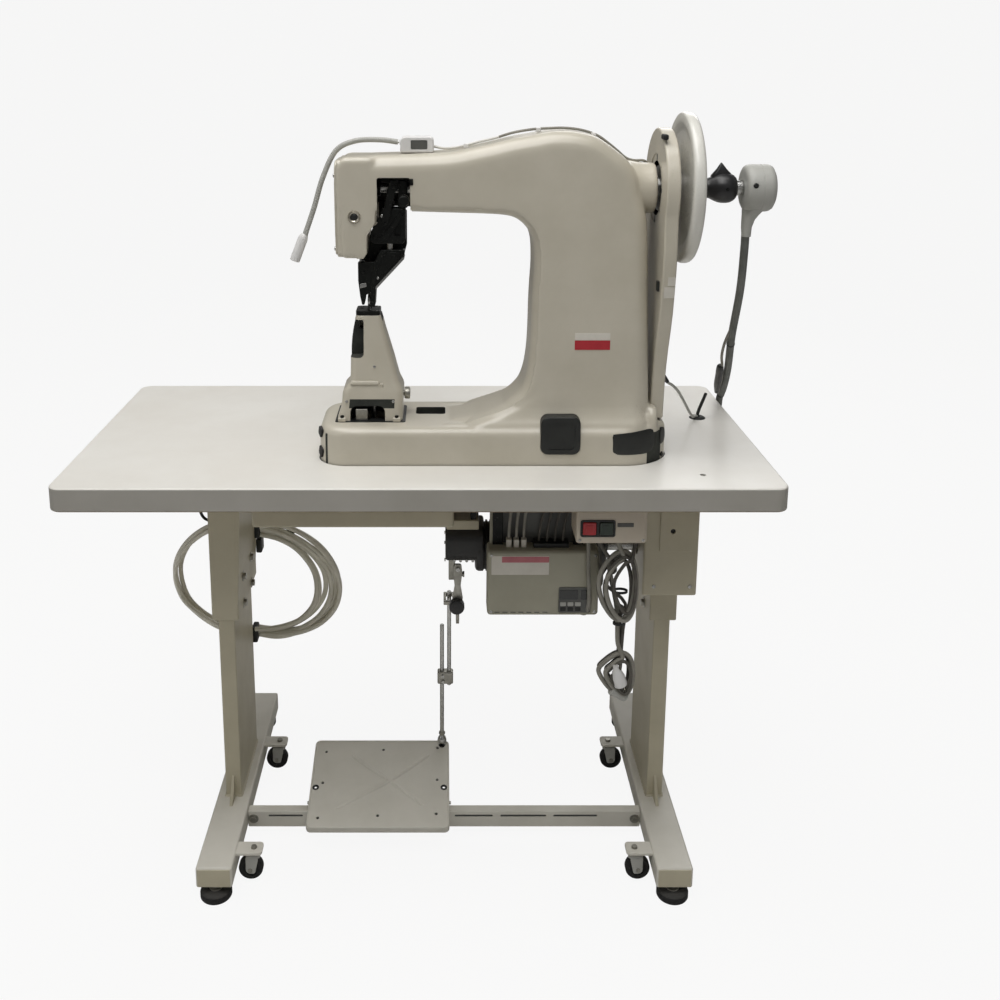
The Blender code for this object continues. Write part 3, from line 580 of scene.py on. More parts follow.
def screw(pos, direction, r, h, kind="slot", mat=STEEL, washer=0.0):
    """Slot, cross, socket or hex head standing on pos."""
    sunk = -0.4
    sixths = range(0, 360, 60)
    if kind == "hex":
        head = soften(prism(arc(0, 0, r, sixths), "z", sunk, h), min(0.5, r * 0.12), 2)
    else:
        profile = [(0, sunk), (r, sunk), (r, h * 0.35), (r * 0.93, h * 0.62),
                   (r * 0.74, h * 0.84), (r * 0.45, h * 0.96), (0, h)]
        if kind == "socket":
            profile = [(0, sunk), (r, sunk), (r, h * 0.85), (r * 0.93, h), (0, h)]
        head = lathe(profile, "z", 0, 0, 28)
        long, wide = r * 0.6, r * 0.11
        if kind == "slot":
            cut(head, box(-r * 1.3, r * 1.3, -r * 0.13, r * 0.13, h * 0.45, h * 2))
        elif kind == "cross":
            cut(head, box(-long, long, -wide, wide, h * 0.4, h * 2),
                box(-wide, wide, -long, long, h * 0.4, h * 2))
        else:
            cut(head, prism(arc(0, 0, r * 0.55, sixths), "z", h * 0.4, h * 2))
    paint(head, mat)
    if washer:
        disc = spun(mat, [(0, sunk), (washer, sunk), (washer, 0.6), (washer - 0.4, 1.0), (0, 1.0)],
                    "z", 0, 0, 28)
        head.data.transform(shift(0, 0, 0.9))
        head = merge(head, disc)
    return turn_to(head, pos, direction)


def screws(places, direction, r, h, kind="slot", mat=STEEL, washer=0.0):
    return [screw(pos, direction, r, h, kind, mat, washer) for pos in places]


def off_shaft(y, z):
    return math.hypot(y - HEAD_Y, z - SHAFT_Z)


# ================================================================= head casting
def base_line(grow):
    """Plan outline of the base, grown outwards: round right end, rounded left corners."""
    half, left = BASE_HALF + grow, -211.0 - grow
    corner = 48.0 + grow
    tip = BASE_TIP_X + grow
    points = arc(left + corner, HEAD_Y - half + corner, corner, range(180, 271, 9))
    points += [(min(u, tip), w) for u, w in arc(BASE_END_X, HEAD_Y, half, range(-90, 91, 6))]
    points += arc(left + corner, HEAD_Y + half - corner, corner, range(90, 181, 9))
    return points


def level(outline, z):
    return [(u, w, z) for u, w in outline]


def casting_outline():
    """Front view (x, z) of arm, nose and column."""
    top = smooth_run([
        (329, 1240), (324, 1262), (315, 1280), (304, 1294), (289, 1307), (257, 1329), (230, 1337),
        (204, 1340), (178, 1339), (150, 1334), (117, 1328), (84, 1320), (52, 1313), (26, 1307.5),
        (0, 1304.5), (-60, 1302), (-110, 1300.5), (-150, 1299)], 4)
    left = smooth_run([
        (-150, 1299), (-163, 1296.5), (-171, 1290), (-175, 1280), (-176, 1262), (-176, 1235),
        (-175.6, 1218), (-171.5, 1206), (-170.5, 1195), (-170, 1160), (-169, 1133)], 3)
    nose = [(-166.5, 1131), (-128.5, 1131), (-126, 1133)]
    nose += smooth_run([(-125, 1150), (-123, 1170), (-117, 1180), (-107, 1196),
                        (-103.5, 1207)], 3)
    throat = smooth_run([
        (-103, 1209), (-40, 1207), (28, 1205), (70, 1203.8), (100, 1202), (118, 1198.5),
        (131, 1191), (144, 1177), (151, 1160), (153.5, 1140), (154, 1110), (152.4, 1080),
        (151, 1045), (150.4, 1000), (148.6, 962), (143.6, 927), (134, 901), (117, 881.5),
        (92, 865.5), (66, 857), (44, 851), (26, 847.6), (14, 845.6)], 4)
    foot = [(14, 800), (345, 800)]
    right = smooth_run([
        (356, 876), (352.6, 957), (349.6, 1020), (347.2, 1080), (344.6, 1150), (340.6, 1196),
        (335, 1220), (329, 1240)], 3)
    return top + left[1:] + nose + throat[1:] + foot + right[:-1]


# flare at the column foot: left x, half width, corner radius, z, right x
FLARE = ((34, 80, 30, 842, 353), (48, 77, 30, 850, 353), (64, 72.5, 32, 857, 353),
         (84, 69, 34, 865, 353), (106, 66, 36, 875, 353), (122, 64, 36, 889, 353),
         (134, 62.5, 36, 903, 352), (143, 61.5, 38, 922, 351), (150, 60, 40, 950, 350))


def casting_shapes():
    body = soften(prism(casting_outline(), "y", HEAD_Y - 62, HEAD_Y + 62), 27, 7, 60, clamp=False)
    boss = lathe([(0, 290), (52, 290), (47, 316), (43.6, 332), (42.6, 344), (42.6, 357),
                  (42, 358), (0, 358)], "x", HEAD_Y, SHAFT_Z, 72)
    flare = loft([level(rounded(x0, x1, HEAD_Y - half, HEAD_Y + half, r), z)
                  for x0, half, r, z, x1 in FLARE])
    nose = prism([(-176, 1284), (-176, 1217), (-171, 1204), (-169, 1131), (-126, 1131),
                  (-123, 1171), (-110, 1192), (-110, 1299), (-164, 1299)],
                 "y", HEAD_Y - 62, HEAD_Y + 62)
    soften(nose, 9, 4, 40)
    rows = [level(base_line(0), z) for z in (758.3, 800, 822)]
    shoulder = 16
    for a in range(10, 91, 10):
        c, s = math.cos(math.radians(a)), math.sin(math.radians(a))
        rows.append(level(base_line(-shoulder * (1 - c)), 829 + shoulder * s))
    base = loft(rows)
    rib = loft([level(rounded(352, 369, HEAD_Y - 66 + inset, HEAD_Y + 66 - inset, 7, 4), z)
                for z, inset in ((800, 0), (846, 0), (862, 4), (872, 12))])
    return body, boss, flare, base, rib, nose


def casting_openings():
    """Cores inside and machined openings."""
    return [
        box(-200, 296, HEAD_Y - 48, HEAD_Y + 48, 1216, 1279),
        box(171, 332, HEAD_Y - 46, HEAD_Y + 46, 740, 1190),
        box(172, 295, HEAD_Y - 45, HEAD_Y + 45, 1180, 1222),
        prism(base_line(-12), "z", 740, 832),
        box(363.8, 378.7, -138.5, -63.5, 740, 872),
        box(-200, -131, HEAD_Y - 44, HEAD_Y + 44, 1120, 1230),
        rod("x", 290, 370, HEAD_Y, SHAFT_Z, 14, 40),
        prism(rounded(-107, -52, 1190, 1265.5, 4, 4), "y", -190, -140),
        box(-109, -50, -152, -72, 1190, 1230),
        prism(rounded(-174, -72, HEAD_Y - 46, HEAD_Y - 40, 2, 2), "z", 818, 838),
        prism(rounded(-160, -96, HEAD_Y - 30, HEAD_Y + 30, 5, 4), "z", 820, 860),
        prism(rounded(-46, 6, -107, -66, 5, 4), "z", 820, 880),
        prism(rounded(166.5, 234.5, 799.5, 866.5, 13, 6), "y", -200, -168)]


def bare_inside(x, y, z, n):
    """Casting faces left unpainted: cores and the walls of openings."""
    across = abs(y - HEAD_Y)
    return ((across < 48.6 and 1215 < z < 1279.6 and x < 297)
            or (170 < x < 332.6 and across < 47 and z < 1190.6)
            or (171 < x < 295.6 and across < 46 and z < 1223)
            or (z < 832.8 and across < 74.9 and -199 < x < 377)
            or (x < -130.6 and across < 44.8 and 1132 < z < 1231)
            or (-107.6 < x < -51.4 and -161 < y < -60 and 1189 < z < 1266.2)
            or (-160.6 < x < -95.4 and across < 30.6 and 825 < z < 843)
            or (-46.6 < x < 6.6 and -107.6 < y < -65.4 and 825 < z < 849 and abs(n.z) < 0.5)
            or (166 < x < 235 and -186 < y < -165 and 799 < z < 867 and abs(n.y) < 0.5))


def head_casting():
    bm = bmesh.new()
    for ob in casting_shapes():
        bm.from_mesh(ob.data)
        remove(ob)
    cast = from_bmesh(bm, recalc=False)
    # one blended skin over the overlapping shapes
    mod = cast.modifiers.new("remesh", "REMESH")
    mod.mode = "VOXEL"
    mod.voxel_size = 0.0028
    mod.adaptivity = 0.0
    mod = cast.modifiers.new("smooth", "SMOOTH")
    mod.factor = 0.5
    mod.iterations = 9
    apply_mods(cast)
    tools = casting_openings()
    for tool in tools:
        bm = bmesh.new()
        bm.from_mesh(tool.data)
        bmesh.ops.triangulate(bm, faces=[f for f in bm.faces if len(f.verts) > 4])
        bm.to_mesh(tool.data)
        bm.free()
    combine(cast, tools, "DIFFERENCE", "MANIFOLD")
    paint(cast, CAST)
    return zone(cast, CAST_INSIDE, bare_inside)


piece("head_casting", head_casting(), HEAD, "machine_casting", slot="cast_iron", sharp=42,
      weighted=False)


# face cover on the left end of the arm
def face_cover():
    edge = fillet([(HEAD_Y - 50, 1136, 6), (HEAD_Y + 50, 1136, 6), (HEAD_Y + 54, 1215, 20),
                   (HEAD_Y + 54, 1280, 14), (HEAD_Y + 40, 1292, 14), (HEAD_Y - 40, 1292, 14),
                   (HEAD_Y - 54, 1280, 14), (HEAD_Y - 54, 1215, 20)], steps=8)
    raised = fillet([(HEAD_Y - 34, 1160), (HEAD_Y + 34, 1160), (HEAD_Y + 38, 1262),
                     (HEAD_Y - 38, 1262)], 9)
    cover = merge(
        soft_prism(CAST, edge, "x", -181.4, -166, 2.4, 4),
        soft_prism(CAST, raised, "x", -183.2, -181.5, 0.8),
        soft_prism(CAST, rounded(HEAD_Y - 60, HEAD_Y + 60, 1133, 1294, 9, 6),
                   "x", -177.6, -160, 3, 4),
        *screws([(-182, -148, 1146), (-182, -62, 1146), (-182, -150, 1268), (-182, -60, 1268)],
                LEFT, 3.6, 2.0))
    cover.data.transform(shift(4.2, 0, 0))
    return cover


piece("face_cover_plate", face_cover(), HEAD, "face_cover", slot="cast_paint")

sight = merge(
    spun(BRASS, [(0, -162), (10.5, -162), (10.5, -168.4), (9.6, -169.6), (7.6, -170),
                 (6.4, -169.2), (6.2, -167.6), (0, -167.6)], "y", -144.5, 1201.5, 48),
    spun(BLACK, [(0, -166), (6.1, -166), (6.1, -168.3), (4.2, -169.4), (0, -169.9)],
         "y", -144.5, 1201.5, 40))
piece("face_sight_plug", sight, HEAD)

# square port plug in the front of the base, with its moulded ridge
plug = soften(prism(rounded(167, 234, 800, 866, 13, 7), "y", -195, -172), 2.2, 4)
cut(plug, prism(rounded(172, 229, 805, 861, 9, 6), "y", -190.5, -160))
cut(plug, prism(rounded(176, 225, 809, 857, 8, 6), "y", -200, -193.6))
piece("port_plug", plug, HEAD, "front_port_plug", mat=BLACK, slot="black_plastic")


# black covers that follow the rounded end of the base
def arc_plate(start, end, bottom, top, n=26):
    """Plate round the base end between two angles (degrees, -90 faces the operator)."""
    inner, outer, rows = 85.8, 88.6, 8
    bm = bmesh.new()
    grid = {}
    for i in range(n + 1):
        t = i / n
        a = math.radians(start + (end - start) * t)
        ends = 1 - (abs(2 * t - 1)) ** 6
        mid = (bottom(t) + top(t)) / 2
        half = (top(t) - bottom(t)) / 2 * (0.5 + 0.5 * math.sqrt(max(0.0, ends)))
        for j in range(rows + 1):
            z = mid + half * (2 * j / rows - 1)
            edge = 1 - abs(2 * j / rows - 1) ** 8
            for s, r in ((0, inner), (1, outer - 1.2 * (1 - edge))):
                x = min(BASE_END_X + r * math.cos(a), BASE_TIP_X + (r - BASE_HALF))
                grid[i, j, s] = bm.verts.new(point(x, HEAD_Y + r * math.sin(a), z))
    for i in range(n):
        for j in range(rows):
            for s in (0, 1):
                f = [grid[i, j, s], grid[i + 1, j, s], grid[i + 1, j + 1, s], grid[i, j + 1, s]]
                bm.faces.new(f if s else f[::-1])
        for j in (0, rows):
            bm.faces.new([grid[i, j, 0], grid[i + 1, j, 0], grid[i + 1, j, 1], grid[i, j, 1]])
    for i in (0, n):
        for j in range(rows):
            bm.faces.new([grid[i, j, 0], grid[i, j + 1, 0], grid[i, j + 1, 1], grid[i, j, 1]])
    return paint(from_bmesh(bm), BLACK)


def base_side_covers():
    bits = [arc_plate(-112, -50, lambda t: 799.5 - 1.5 * t, lambda t: 833 + 10 * t),
            arc_plate(-38, -24, lambda t: 806, lambda t: 838 - 6 * t, n=10)]
    a = math.radians(-32)
    bits.append(screw((BASE_END_X + BASE_HALF * math.cos(a), HEAD_Y + BASE_HALF * math.sin(a),
                       787), (math.cos(a), math.sin(a), 0), 4.2, 2.2, "socket", OXIDE))
    # two rubber buttons on the front left corner
    a = math.radians(203)
    for z, bottom in ((831, -8), (796, -9)):
        button = soft_prism(RUBBER, rounded(-9, 9, bottom, 8, 5, 5), "z", -2, 2.6, 1)
        bits.append(turn_to(button, (-163 + 48 * math.cos(a), -144 + 48 * math.sin(a), z),
                            (math.cos(a), math.sin(a), 0)))
    return merge(*bits)


piece("base_side_covers", base_side_covers(), HEAD)

# soft seal that fills the joint between base and table
seal = prism(base_line(2.3), "z", 762, 779)
cut(seal, prism(base_line(0.4), "z", 757, 784))
piece("base_seal", seal, HEAD, mat=DARK_GREY)


# flat covers on the rear of arm and column
def rear_covers():
    bits = []
    # x0, x1, z0, z1, screw places (x, z)
    for x0, x1, z0, z1, places in (
            (-60, 120, 1225, 1278, ((-52, 1233), (112, 1233), (-52, 1270), (112, 1270))),
            (190, 320, 905, 1105, ((198, 914), (312, 914), (198, 1096), (312, 1096),
                                   (198, 1005), (312, 1005)))):
        bits.append(soft_prism(CAST, rounded(x0, x1, z0, z1, 9, 6), "y", -44, -39.6, 1.2, 4))
        bits += screws([(x, -39.8, z) for x, z in places], REAR, 3.8, 2.0)
    return merge(*bits)


piece("rear_covers", rear_covers(), HEAD)
piece("blank_label_plate",
      merge(soft_box(LABEL, (223.5, 283, -167.6, -166.2, 993, 1005.5), 0.4, 2),
            soft_box(RED_LABEL, (223.5, 283, -167.9, -166.2, 976.5, 992.6), 0.4, 2)), HEAD)

# ================================================================= needle side
needle = spun(STEEL, [(4, 1099), (4, 1226), (5.6, 1227), (5.6, 1238), (4, 1239), (4, 1277),
                      (3.4, 1278), (0, 1278), (0, 1097), (4, 1097)], "z", NEEDLE_X, HEAD_Y, 40)
clamp_ring = soften(lathe([(0, 1082), (4.6, 1082), (5.5, 1083), (5.5, 1097), (4.6, 1098.4),
                           (0, 1098.4)], "z", NEEDLE_X, HEAD_Y, 40), 0.3, 2)
needle = merge(
    needle, paint(clamp_ring, OXIDE),
    spun(STEEL, [(0, 1049.6), (0.35, 1051), (0.75, 1055), (0.9, 1062), (0.95, 1074),
                 (1.3, 1076), (1.3, 1083), (0, 1083)], "z", NEEDLE_X, HEAD_Y, 20),
    screw((NEEDLE_X, HEAD_Y - 5.3, 1090), FRONT, 2.2, 2.4))
piece("needle_bar_fine", needle, "needle_bar", "needle_bar", slot="bright_steel")

presser_bar = soften(rod("z", 1126, 1240, BAR_X, BAR_Y, 5, 40), 0.6, 2)
piece("presser_bar_fine", presser_bar, "presser", "presser_bar", mat=STEEL, slot="black_steel")


def roller_bracket():
    edge = fillet([(-62, 1142, 3), (-64, 1128, 3), (-112, 1076, 4), (-114, 1044, 1),
                   (-121.5, 1044, 1), (-121.5, 1060, 6), (-119, 1092, 20), (-114, 1120, 12),
                   (-104, 1142, 3)], steps=5)
    bracket = soften(prism(edge, "y", -137, -97), 1.4)
    cut(bracket, box(-121, -55, -117, -90, 1085, 1150))
    cut(bracket, rod("z", 1100, 1150, BAR_X, BAR_Y, 5.3, 32))
    bits = [paint(bracket, OXIDE),
            paint(rod("x", -128.4, -117.9, HEAD_Y, ROLLER_Z, 2.5, 28, 0.4), STEEL)]
    # bright steel strip along the lower diagonal edge of the black bracket: painted highlight
    edge_highlight_strip = fillet([(-63.5, 1126.4), (-64.9, 1131), (-112.4, 1079.2), (-112.6, 1073.4)], 0.6, 3)
    bits.append(soft_prism(STEEL, edge_highlight_strip, "y", -138.2, -96.4, 0.5, 2))
    for x, z, r, mat in ((-74, 1134, 3.0, OXIDE), (-97, 1131, 2.6, OXIDE),
                         (-100, 1110, 2.8, OXIDE), (-108, 1094, 2.2, STEEL)):
        bits.append(screw((x, -137, z), FRONT, r, 2.2, mat=mat))
    arm = fillet([(-142, 1121, 2), (-112, 1121, 2), (-110, 1100, 4), (-114, 1080, 6),
                  (-121, 1069, 3), (-128.6, 1064, 3), (-129.6, 1056, 2), (-132, 1047, 1.5),
                  (-136, 1047, 1.5), (-139, 1062, 6), (-142, 1088, 6)], steps=4)
    bits.append(soft_prism(OXIDE, arm, "y", -135, -124.4, 1.6))
    bits.append(screw((-133, -135, 1104), FRONT, 3.0, 2.0, mat=OXIDE))
    tab = fillet([(-139, 1084), (-128, 1086), (-127.4, 1079), (-138.4, 1076)], 1.5, 3)
    bits.append(soft_prism(STEEL, tab, "y", -137.4, -134.6, 0.6))
    web = fillet([(-70, 1138), (-76, 1124), (-104, 1096), (-109, 1104), (-100, 1128),
                  (-92, 1138)], 2, 4)
    bits.append(soft_prism(OXIDE, web, "y", -139.4, -136.5, 0.8))
    return merge(*bits)


piece("roller_bracket_fine", roller_bracket(), "presser", "roller_foot_bracket",
      slot="black_steel")

roller = lathe([(3, -127.5), (10, -127.5), (11, -127.1), (13, -127.4), (13.6, -127.2),
                (14, -126.7), (14, -123.5), (13.5, -122.9), (11, -123.1), (10, -122.7),
                (3, -122.7)], "x", HEAD_Y, ROLLER_Z, 64, ring=True)
piece("roller_foot_fine", roller, "roller_foot", "roller_foot", mat=TURNED, slot="bright_steel")


def presser_guide():
    """Black guide block and levers that fill the gap between arm and foot."""
    edge = fillet([(-106, 1197), (-119.5, 1172), (-121.5, 1158), (-112, 1153), (-66, 1153),
                   (-61.5, 1158), (-61, 1212), (-100, 1213)], 2.5, 4)
    block = soften(prism(edge, "y", -142, -110), 1.6)
    cut(block, rod("z", 1140, 1230, BAR_X, BAR_Y, 5.6, 32))
    cut(block, prism(fillet([(-80, 1166), (-68, 1166), (-68, 1186), (-80, 1196)], 3, 4),
                     "y", -150, -136))
    bits = [paint(block, OXIDE)]
    for x, z, r, mat in ((-112, 1165, 3.4, OXIDE), (-100, 1200, 3.0, STEEL),
                         (-67, 1200, 3.2, OXIDE), (-98, 1172, 4.2, OXIDE)):
        bits.append(screw((x, -142, z), FRONT, r, 2.2, mat=mat))
    lever = fillet([(-70, 1206), (-64, 1200), (-92, 1160), (-104, 1156), (-108, 1162),
                    (-98, 1168)], 2, 4)
    bits.append(soft_prism(OXIDE, lever, "y", -144.7, -142.2, 0.8))
    upright = fillet([(-72, 1258), (-58, 1258), (-57, 1214), (-66, 1210), (-74, 1216)], 3, 4)
    bits.append(soft_prism(OXIDE, upright, "y", -139, -128, 1.2))
    back = fillet([(-119, 1186), (-60, 1206), (-60, 1146), (-64, 1131), (-98, 1100),
                   (-114, 1102), (-131, 1108), (-135, 1118), (-135, 1152), (-119, 1164)], 2.5, 4)
    bits.append(soft_prism(OXIDE, back, "y", -94.6, -88.6, 1.0))
    bits.append(soft_box(OXIDE, (-53, -47, -169.4, -165, 1253, 1264), 1.6))
    return merge(*bits)


piece("presser_guide_block", presser_guide(), HEAD)

coil_turns, coil_steps, coil_radius = 15, 16, 7.4
coil = []
for k in range(coil_turns * coil_steps + 1):
    a = 2 * math.pi * k / coil_steps
    coil.append((BAR_X + coil_radius * math.cos(a), BAR_Y + coil_radius * math.sin(a),
                 1213.5 + 22 * k / (coil_turns * coil_steps)))
piece("presser_spring", tube(coil, 0.9, 8), HEAD, mat=STEEL)
piece("window_back_plate", soft_box(DARK_GREY, (-107, -52, -60, -57.6, 1216.5, 1262), 0.4, 2),
      HEAD)

take_up = prism(fillet([(-70, 1247, 4), (-73, 1259, 5), (-84, 1260, 5), (-89, 1250, 4),
                        (-101, 1188, 4), (-96, 1183, 3), (-90, 1188, 4), (-77, 1241, 4)],
                       steps=5), "y", -149, -145)
soften(take_up, 0.7)
cut(take_up, rod("y", -160, -140, -95.5, 1190, 2, 24))
take_up = merge(paint(take_up, OXIDE), screw((-79, -149, 1250), FRONT, 4.4, 2.4, mat=OXIDE))
piece("take_up_lever_fine", take_up, "take_up", "take_up_lever", slot="bright_steel")


def tension_nut():
    x, z = -63, 1228
    nut = spun(STEEL, [
        (0, -151), (3.6, -151), (4, -151.4), (4, -157), (9, -157.6), (9.5, -158.6), (8.4, -160.2),
        (9.5, -161.8), (9, -163), (5, -164), (5, -169), (7.6, -169.6), (8, -170.4), (8, -175.2),
        (7.2, -176), (0, -176)], "y", x, z, 56)
    zone(nut, OXIDE, lambda x, y, z, n: y < -163.2)
    bits = [nut]
    for k in range(24):
        a = 2 * math.pi * k / 24
        ridge = paint(box(-0.5, 0.5, -0.5, 0.5, 0, 4.4), OXIDE)
        bits.append(turn_to(ridge, (x + 8.0 * math.cos(a), -170.6, z + 8.0 * math.sin(a)), FRONT))
    return merge(*bits)


piece("tension_nut_fine", tension_nut(), "tension_nut", "thread_tension", slot="bright_steel")

lifter_edge = fillet([(-52, 1231, 4), (-66, 1231, 5), (-70, 1224, 4), (-66, 1215, 5),
                      (-112, 1170, 6), (-118, 1160, 5), (-108, 1158, 5), (-52, 1213, 5)], steps=5)
lifter = merge(soft_prism(STEEL, lifter_edge, "y", -42, -35, 1.4, 4),
               paint(soften(rod("y", -42.6, -31, -60, 1223, 6, 40), 0.8), STEEL),
               screw((-60, -31, 1223), REAR, 3.4, 1.8, mat=OXIDE))
piece("lifter_lever_fine", lifter, "lifter", "presser_lifter_lever", slot="bright_steel")


# ================================================================= post
# z, left x, right x, half width, corner radius
POST_SECTIONS = (
    (845.4, -181, -68, 46, 12), (853, -179.6, -68, 45.6, 13), (868, -174, -68, 44, 14),
    (884, -172.6, -67.4, 42.8, 14), (893, -171.6, -67, 42, 14), (899, -169.5, -68.4, 41.4, 13),
    (908, -161, -72.6, 39.4, 12.5), (914, -158.3, -75, 38, 12), (930, -157.6, -79, 36.6, 12),
    (950, -157.2, -84, 34.8, 12), (968, -157, -89, 33, 12), (985, -155.6, -93.8, 31, 11.5),
    (1000, -153.4, -98, 29, 11), (1016, -150, -102, 26.6, 9.5),
    (1024, -148.4, -104.2, 25.4, 8.5), (1027, -147.4, -105.4, 24.4, 8))


def post():
    pocket_back = HEAD_Y - 4
    body = loft([level(rounded(x0, x1, HEAD_Y - half, HEAD_Y + half, r, 7), z)
                 for z, x0, x1, half, r in POST_SECTIONS])
    soften(body, 0.8, 2, 40)
    cut(body, rod("z", 835, 1008, HOOK_X, HEAD_Y, 17.5, 56))
    cut(body, box(-142, -116, HEAD_Y - 17, HEAD_Y + 17, 1000, 1040))
    cut(body, prism(fillet([(-170, 955, 2), (-134, 955, 8), (-134, 1020, 3), (-170, 1020, 2)],
                           steps=5), "y", -150, pocket_back))
    cut(body, prism(rounded(-158, -98, 828, 872, 11, 6), "y", -160, HEAD_Y))
    paint(body, CAST)

    def bare(x, y, z, n):
        """Hook bore, front pockets; faces centred exactly on the pocket back stay painted."""
        return (math.hypot(x - HOOK_X, y - HEAD_Y) < 17.7
                or (954 < z < 1021 and -156 < x < -133.8 and -138 < y < HEAD_Y - 3
                    and y != pocket_back)
                or (-158.2 < x < -97.8 and z < 872.2 and y > -150))
    zone(body, CAST_INSIDE, bare)
    # ledge across the front, then screws and feet
    ledge = loft([level(rounded(-157 - grow, -108 + grow, HEAD_Y - 41.5 - grow, HEAD_Y - 33,
                                3, 4), z)
                  for z, grow in ((908.5, -0.6), (910.4, 0.5), (912.4, 0.5), (915.5, -1.2))])
    bits = [body, paint(soften(ledge, 0.8), CAST)]
    for x, z, r, out, mat in ((-103, 908, 3.2, 39.4, CAST), (-164, 880, 2.6, 43.4, STEEL),
                              (-84, 880, 2.6, 43.4, STEEL), (-116, 940, 2.4, 35.8, STEEL)):
        bits.append(screw((x, HEAD_Y - out, z), (0, -1, 0.06), r, 1.6, mat=mat))
    for x in (-172, -78):
        bits.append(soft_box(CAST, (x - 7, x + 7, -156, -148, 845.4, 853), 2))
        bits.append(screw((x, -152, 853), UP, 3.4, 3.0, "socket", OXIDE))
    return merge(*bits)


piece("post_fine", post(), HEAD, "post_casting", slot="cast_iron", sharp=40)
knob = spun(ZINC, [(0, -69), (5, -69), (5, -66), (9.6, -65.4), (10.6, -63.8), (10.6, -57.6),
                   (9.4, -56), (4, -55.4), (0, -55.4)], "x", HEAD_Y - 4, 884.5, 48)
piece("post_side_knob", knob, HEAD)
gasket = soften(prism(rounded(-184, -63, -155.5, -57, 5, 5), "z", 844.6, 846.2), 0.4, 2)
cut(gasket, prism(rounded(-160, -96, HEAD_Y - 30, HEAD_Y + 30, 5, 4), "z", 840, 850))
seat_block = soft_box(ZINC, (-149, -128, -147, -139, 846, 866), 1.6)
piece("post_seat_gasket", merge(paint(gasket, BLACK), seat_block), HEAD)

plate = prism(rounded(-147.5, -106, HEAD_Y - 24, HEAD_Y + 24, 7), "z", 1027.4, 1035)
soften(plate, 1.0, 3, 60)
cut(plate, rod("z", 1020, 1040, NEEDLE_X, HEAD_Y, 2.2, 24),
    prism(rounded(-127.8, -121.2, HEAD_Y - 14, HEAD_Y + 14, 2, 4), "z", 1020, 1040))
plate = merge(paint(plate, OXIDE),
              *screws([(-113, HEAD_Y - 19, 1035), (-113, HEAD_Y + 19, 1035)], UP, 2.6, 0.7))
piece("needle_plate_fine", plate, HEAD, "needle_plate", slot="black_steel")


def feed_wheel():
    centre_z, teeth = 1021.2, 40
    bits = [spun(TURNED, [(0, -127), (12.6, -127), (13.2, -126.6), (13.2, -122.4), (12.6, -122),
                          (3, -121.5), (3, -117), (0, -117)], "x", HEAD_Y, centre_z)]
    for k in range(teeth):
        tooth = soft_prism(TURNED, [(-0.7, 12.6), (0.7, 12.6), (0.25, 14.2), (-0.25, 14.2)],
                           "x", -126.9, -122.1, 0.08, 1)
        turn = Matrix.Rotation(2 * math.pi * k / teeth, 4, "X")
        tooth.data.transform(Matrix.Translation(point(0, HEAD_Y, centre_z)) @ turn
                             @ Matrix.Translation(-point(0, 0, 0)))
        bits.append(tooth)
    return merge(*bits)


piece("feed_wheel_fine", feed_wheel(), "feed_wheel", "feed_wheel", slot="bright_steel")


def rotary_hook():
    hook = lathe([(0, 800), (13.4, 800), (14, 800.8), (14, 811.2), (13.4, 812), (6, 813),
                  (6, 970), (14, 974), (15.4, 976), (16.3, 980), (16.3, 1002), (15.6, 1003),
                  (13, 1003), (13, 986), (0, 986)], "z", HOOK_X, HEAD_Y)
    cut(hook, box(-140, -128, HEAD_Y, HEAD_Y + 30, 984, 1010))
    bits = [paint(hook, STEEL)]
    for k in range(24):
        a = 2 * math.pi * k / 24
        tooth = paint(box(-0.6, 0.6, -0.6, 0.6, 0.5, 11.2), STEEL)
        bits.append(turn_to(tooth, (HOOK_X + 14.0 * math.cos(a), HEAD_Y + 14.0 * math.sin(a),
                                    800.3), UP))
    return merge(*bits)


piece("rotary_hook_fine", rotary_hook(), "hook", "rotary_hook", slot="bright_steel")
bobbin = merge(
    spun(STEEL, [(0, 986.5), (11.2, 986.5), (11.5, 986.8), (11.5, 987.8), (11.2, 988),
                 (5, 988.3), (5, 998.7), (11.5, 999), (11.5, 1000.2), (11.2, 1000.5),
                 (0, 1000.5)], "z", HOOK_X, HEAD_Y, 56),
    spun(THREAD, [(4, 988.6), (9.6, 988.8), (9.9, 991), (9.7, 993.5), (10, 996), (9.6, 998.2),
                  (4, 998.4)], "z", HOOK_X, HEAD_Y, 48, ring=True))
piece("bobbin_wound", bobbin, HEAD, "bobbin", slot="bright_steel")

# ================================================================= shafts and belts
# flanged pulley on both shafts for the toothed belt: (radius, x)
BELT_PULLEY = [(23.6, 240.5), (24, 241), (24, 242.6), (21, 243.5), (21, 256.5), (24, 257.4),
               (24, 259.6), (23.6, 260)]
main_shaft = spun(TURNED, [
    (0, -127), (26.4, -127), (27, -126.4), (27, -113.6), (26.4, -113), (14, -112.5),
    (14, -104.4), (13.4, -104), (8, -103), (8, 240), *BELT_PULLEY, (8, 260.5), (8, 531),
    (7, 532), (0, 532)], "x", HEAD_Y, SHAFT_Z, 56)
zone(main_shaft, OXIDE, lambda x, y, z, n: x < -103.5)
main_shaft = merge(
    main_shaft, paint(rod("x", -131, -126, HEAD_Y, SHAFT_Z + 19, 4.5, 28, 0.5), OXIDE),
    screw((-108, HEAD_Y - 13.6, SHAFT_Z), FRONT, 2.6, 1.0, "socket", OXIDE),
    screw((250, HEAD_Y, SHAFT_Z + 20.4), UP, 2.4, 0.8, "socket", OXIDE))
piece("main_shaft_fine", main_shaft, "main_shaft", "main_shaft", slot="bright_steel")
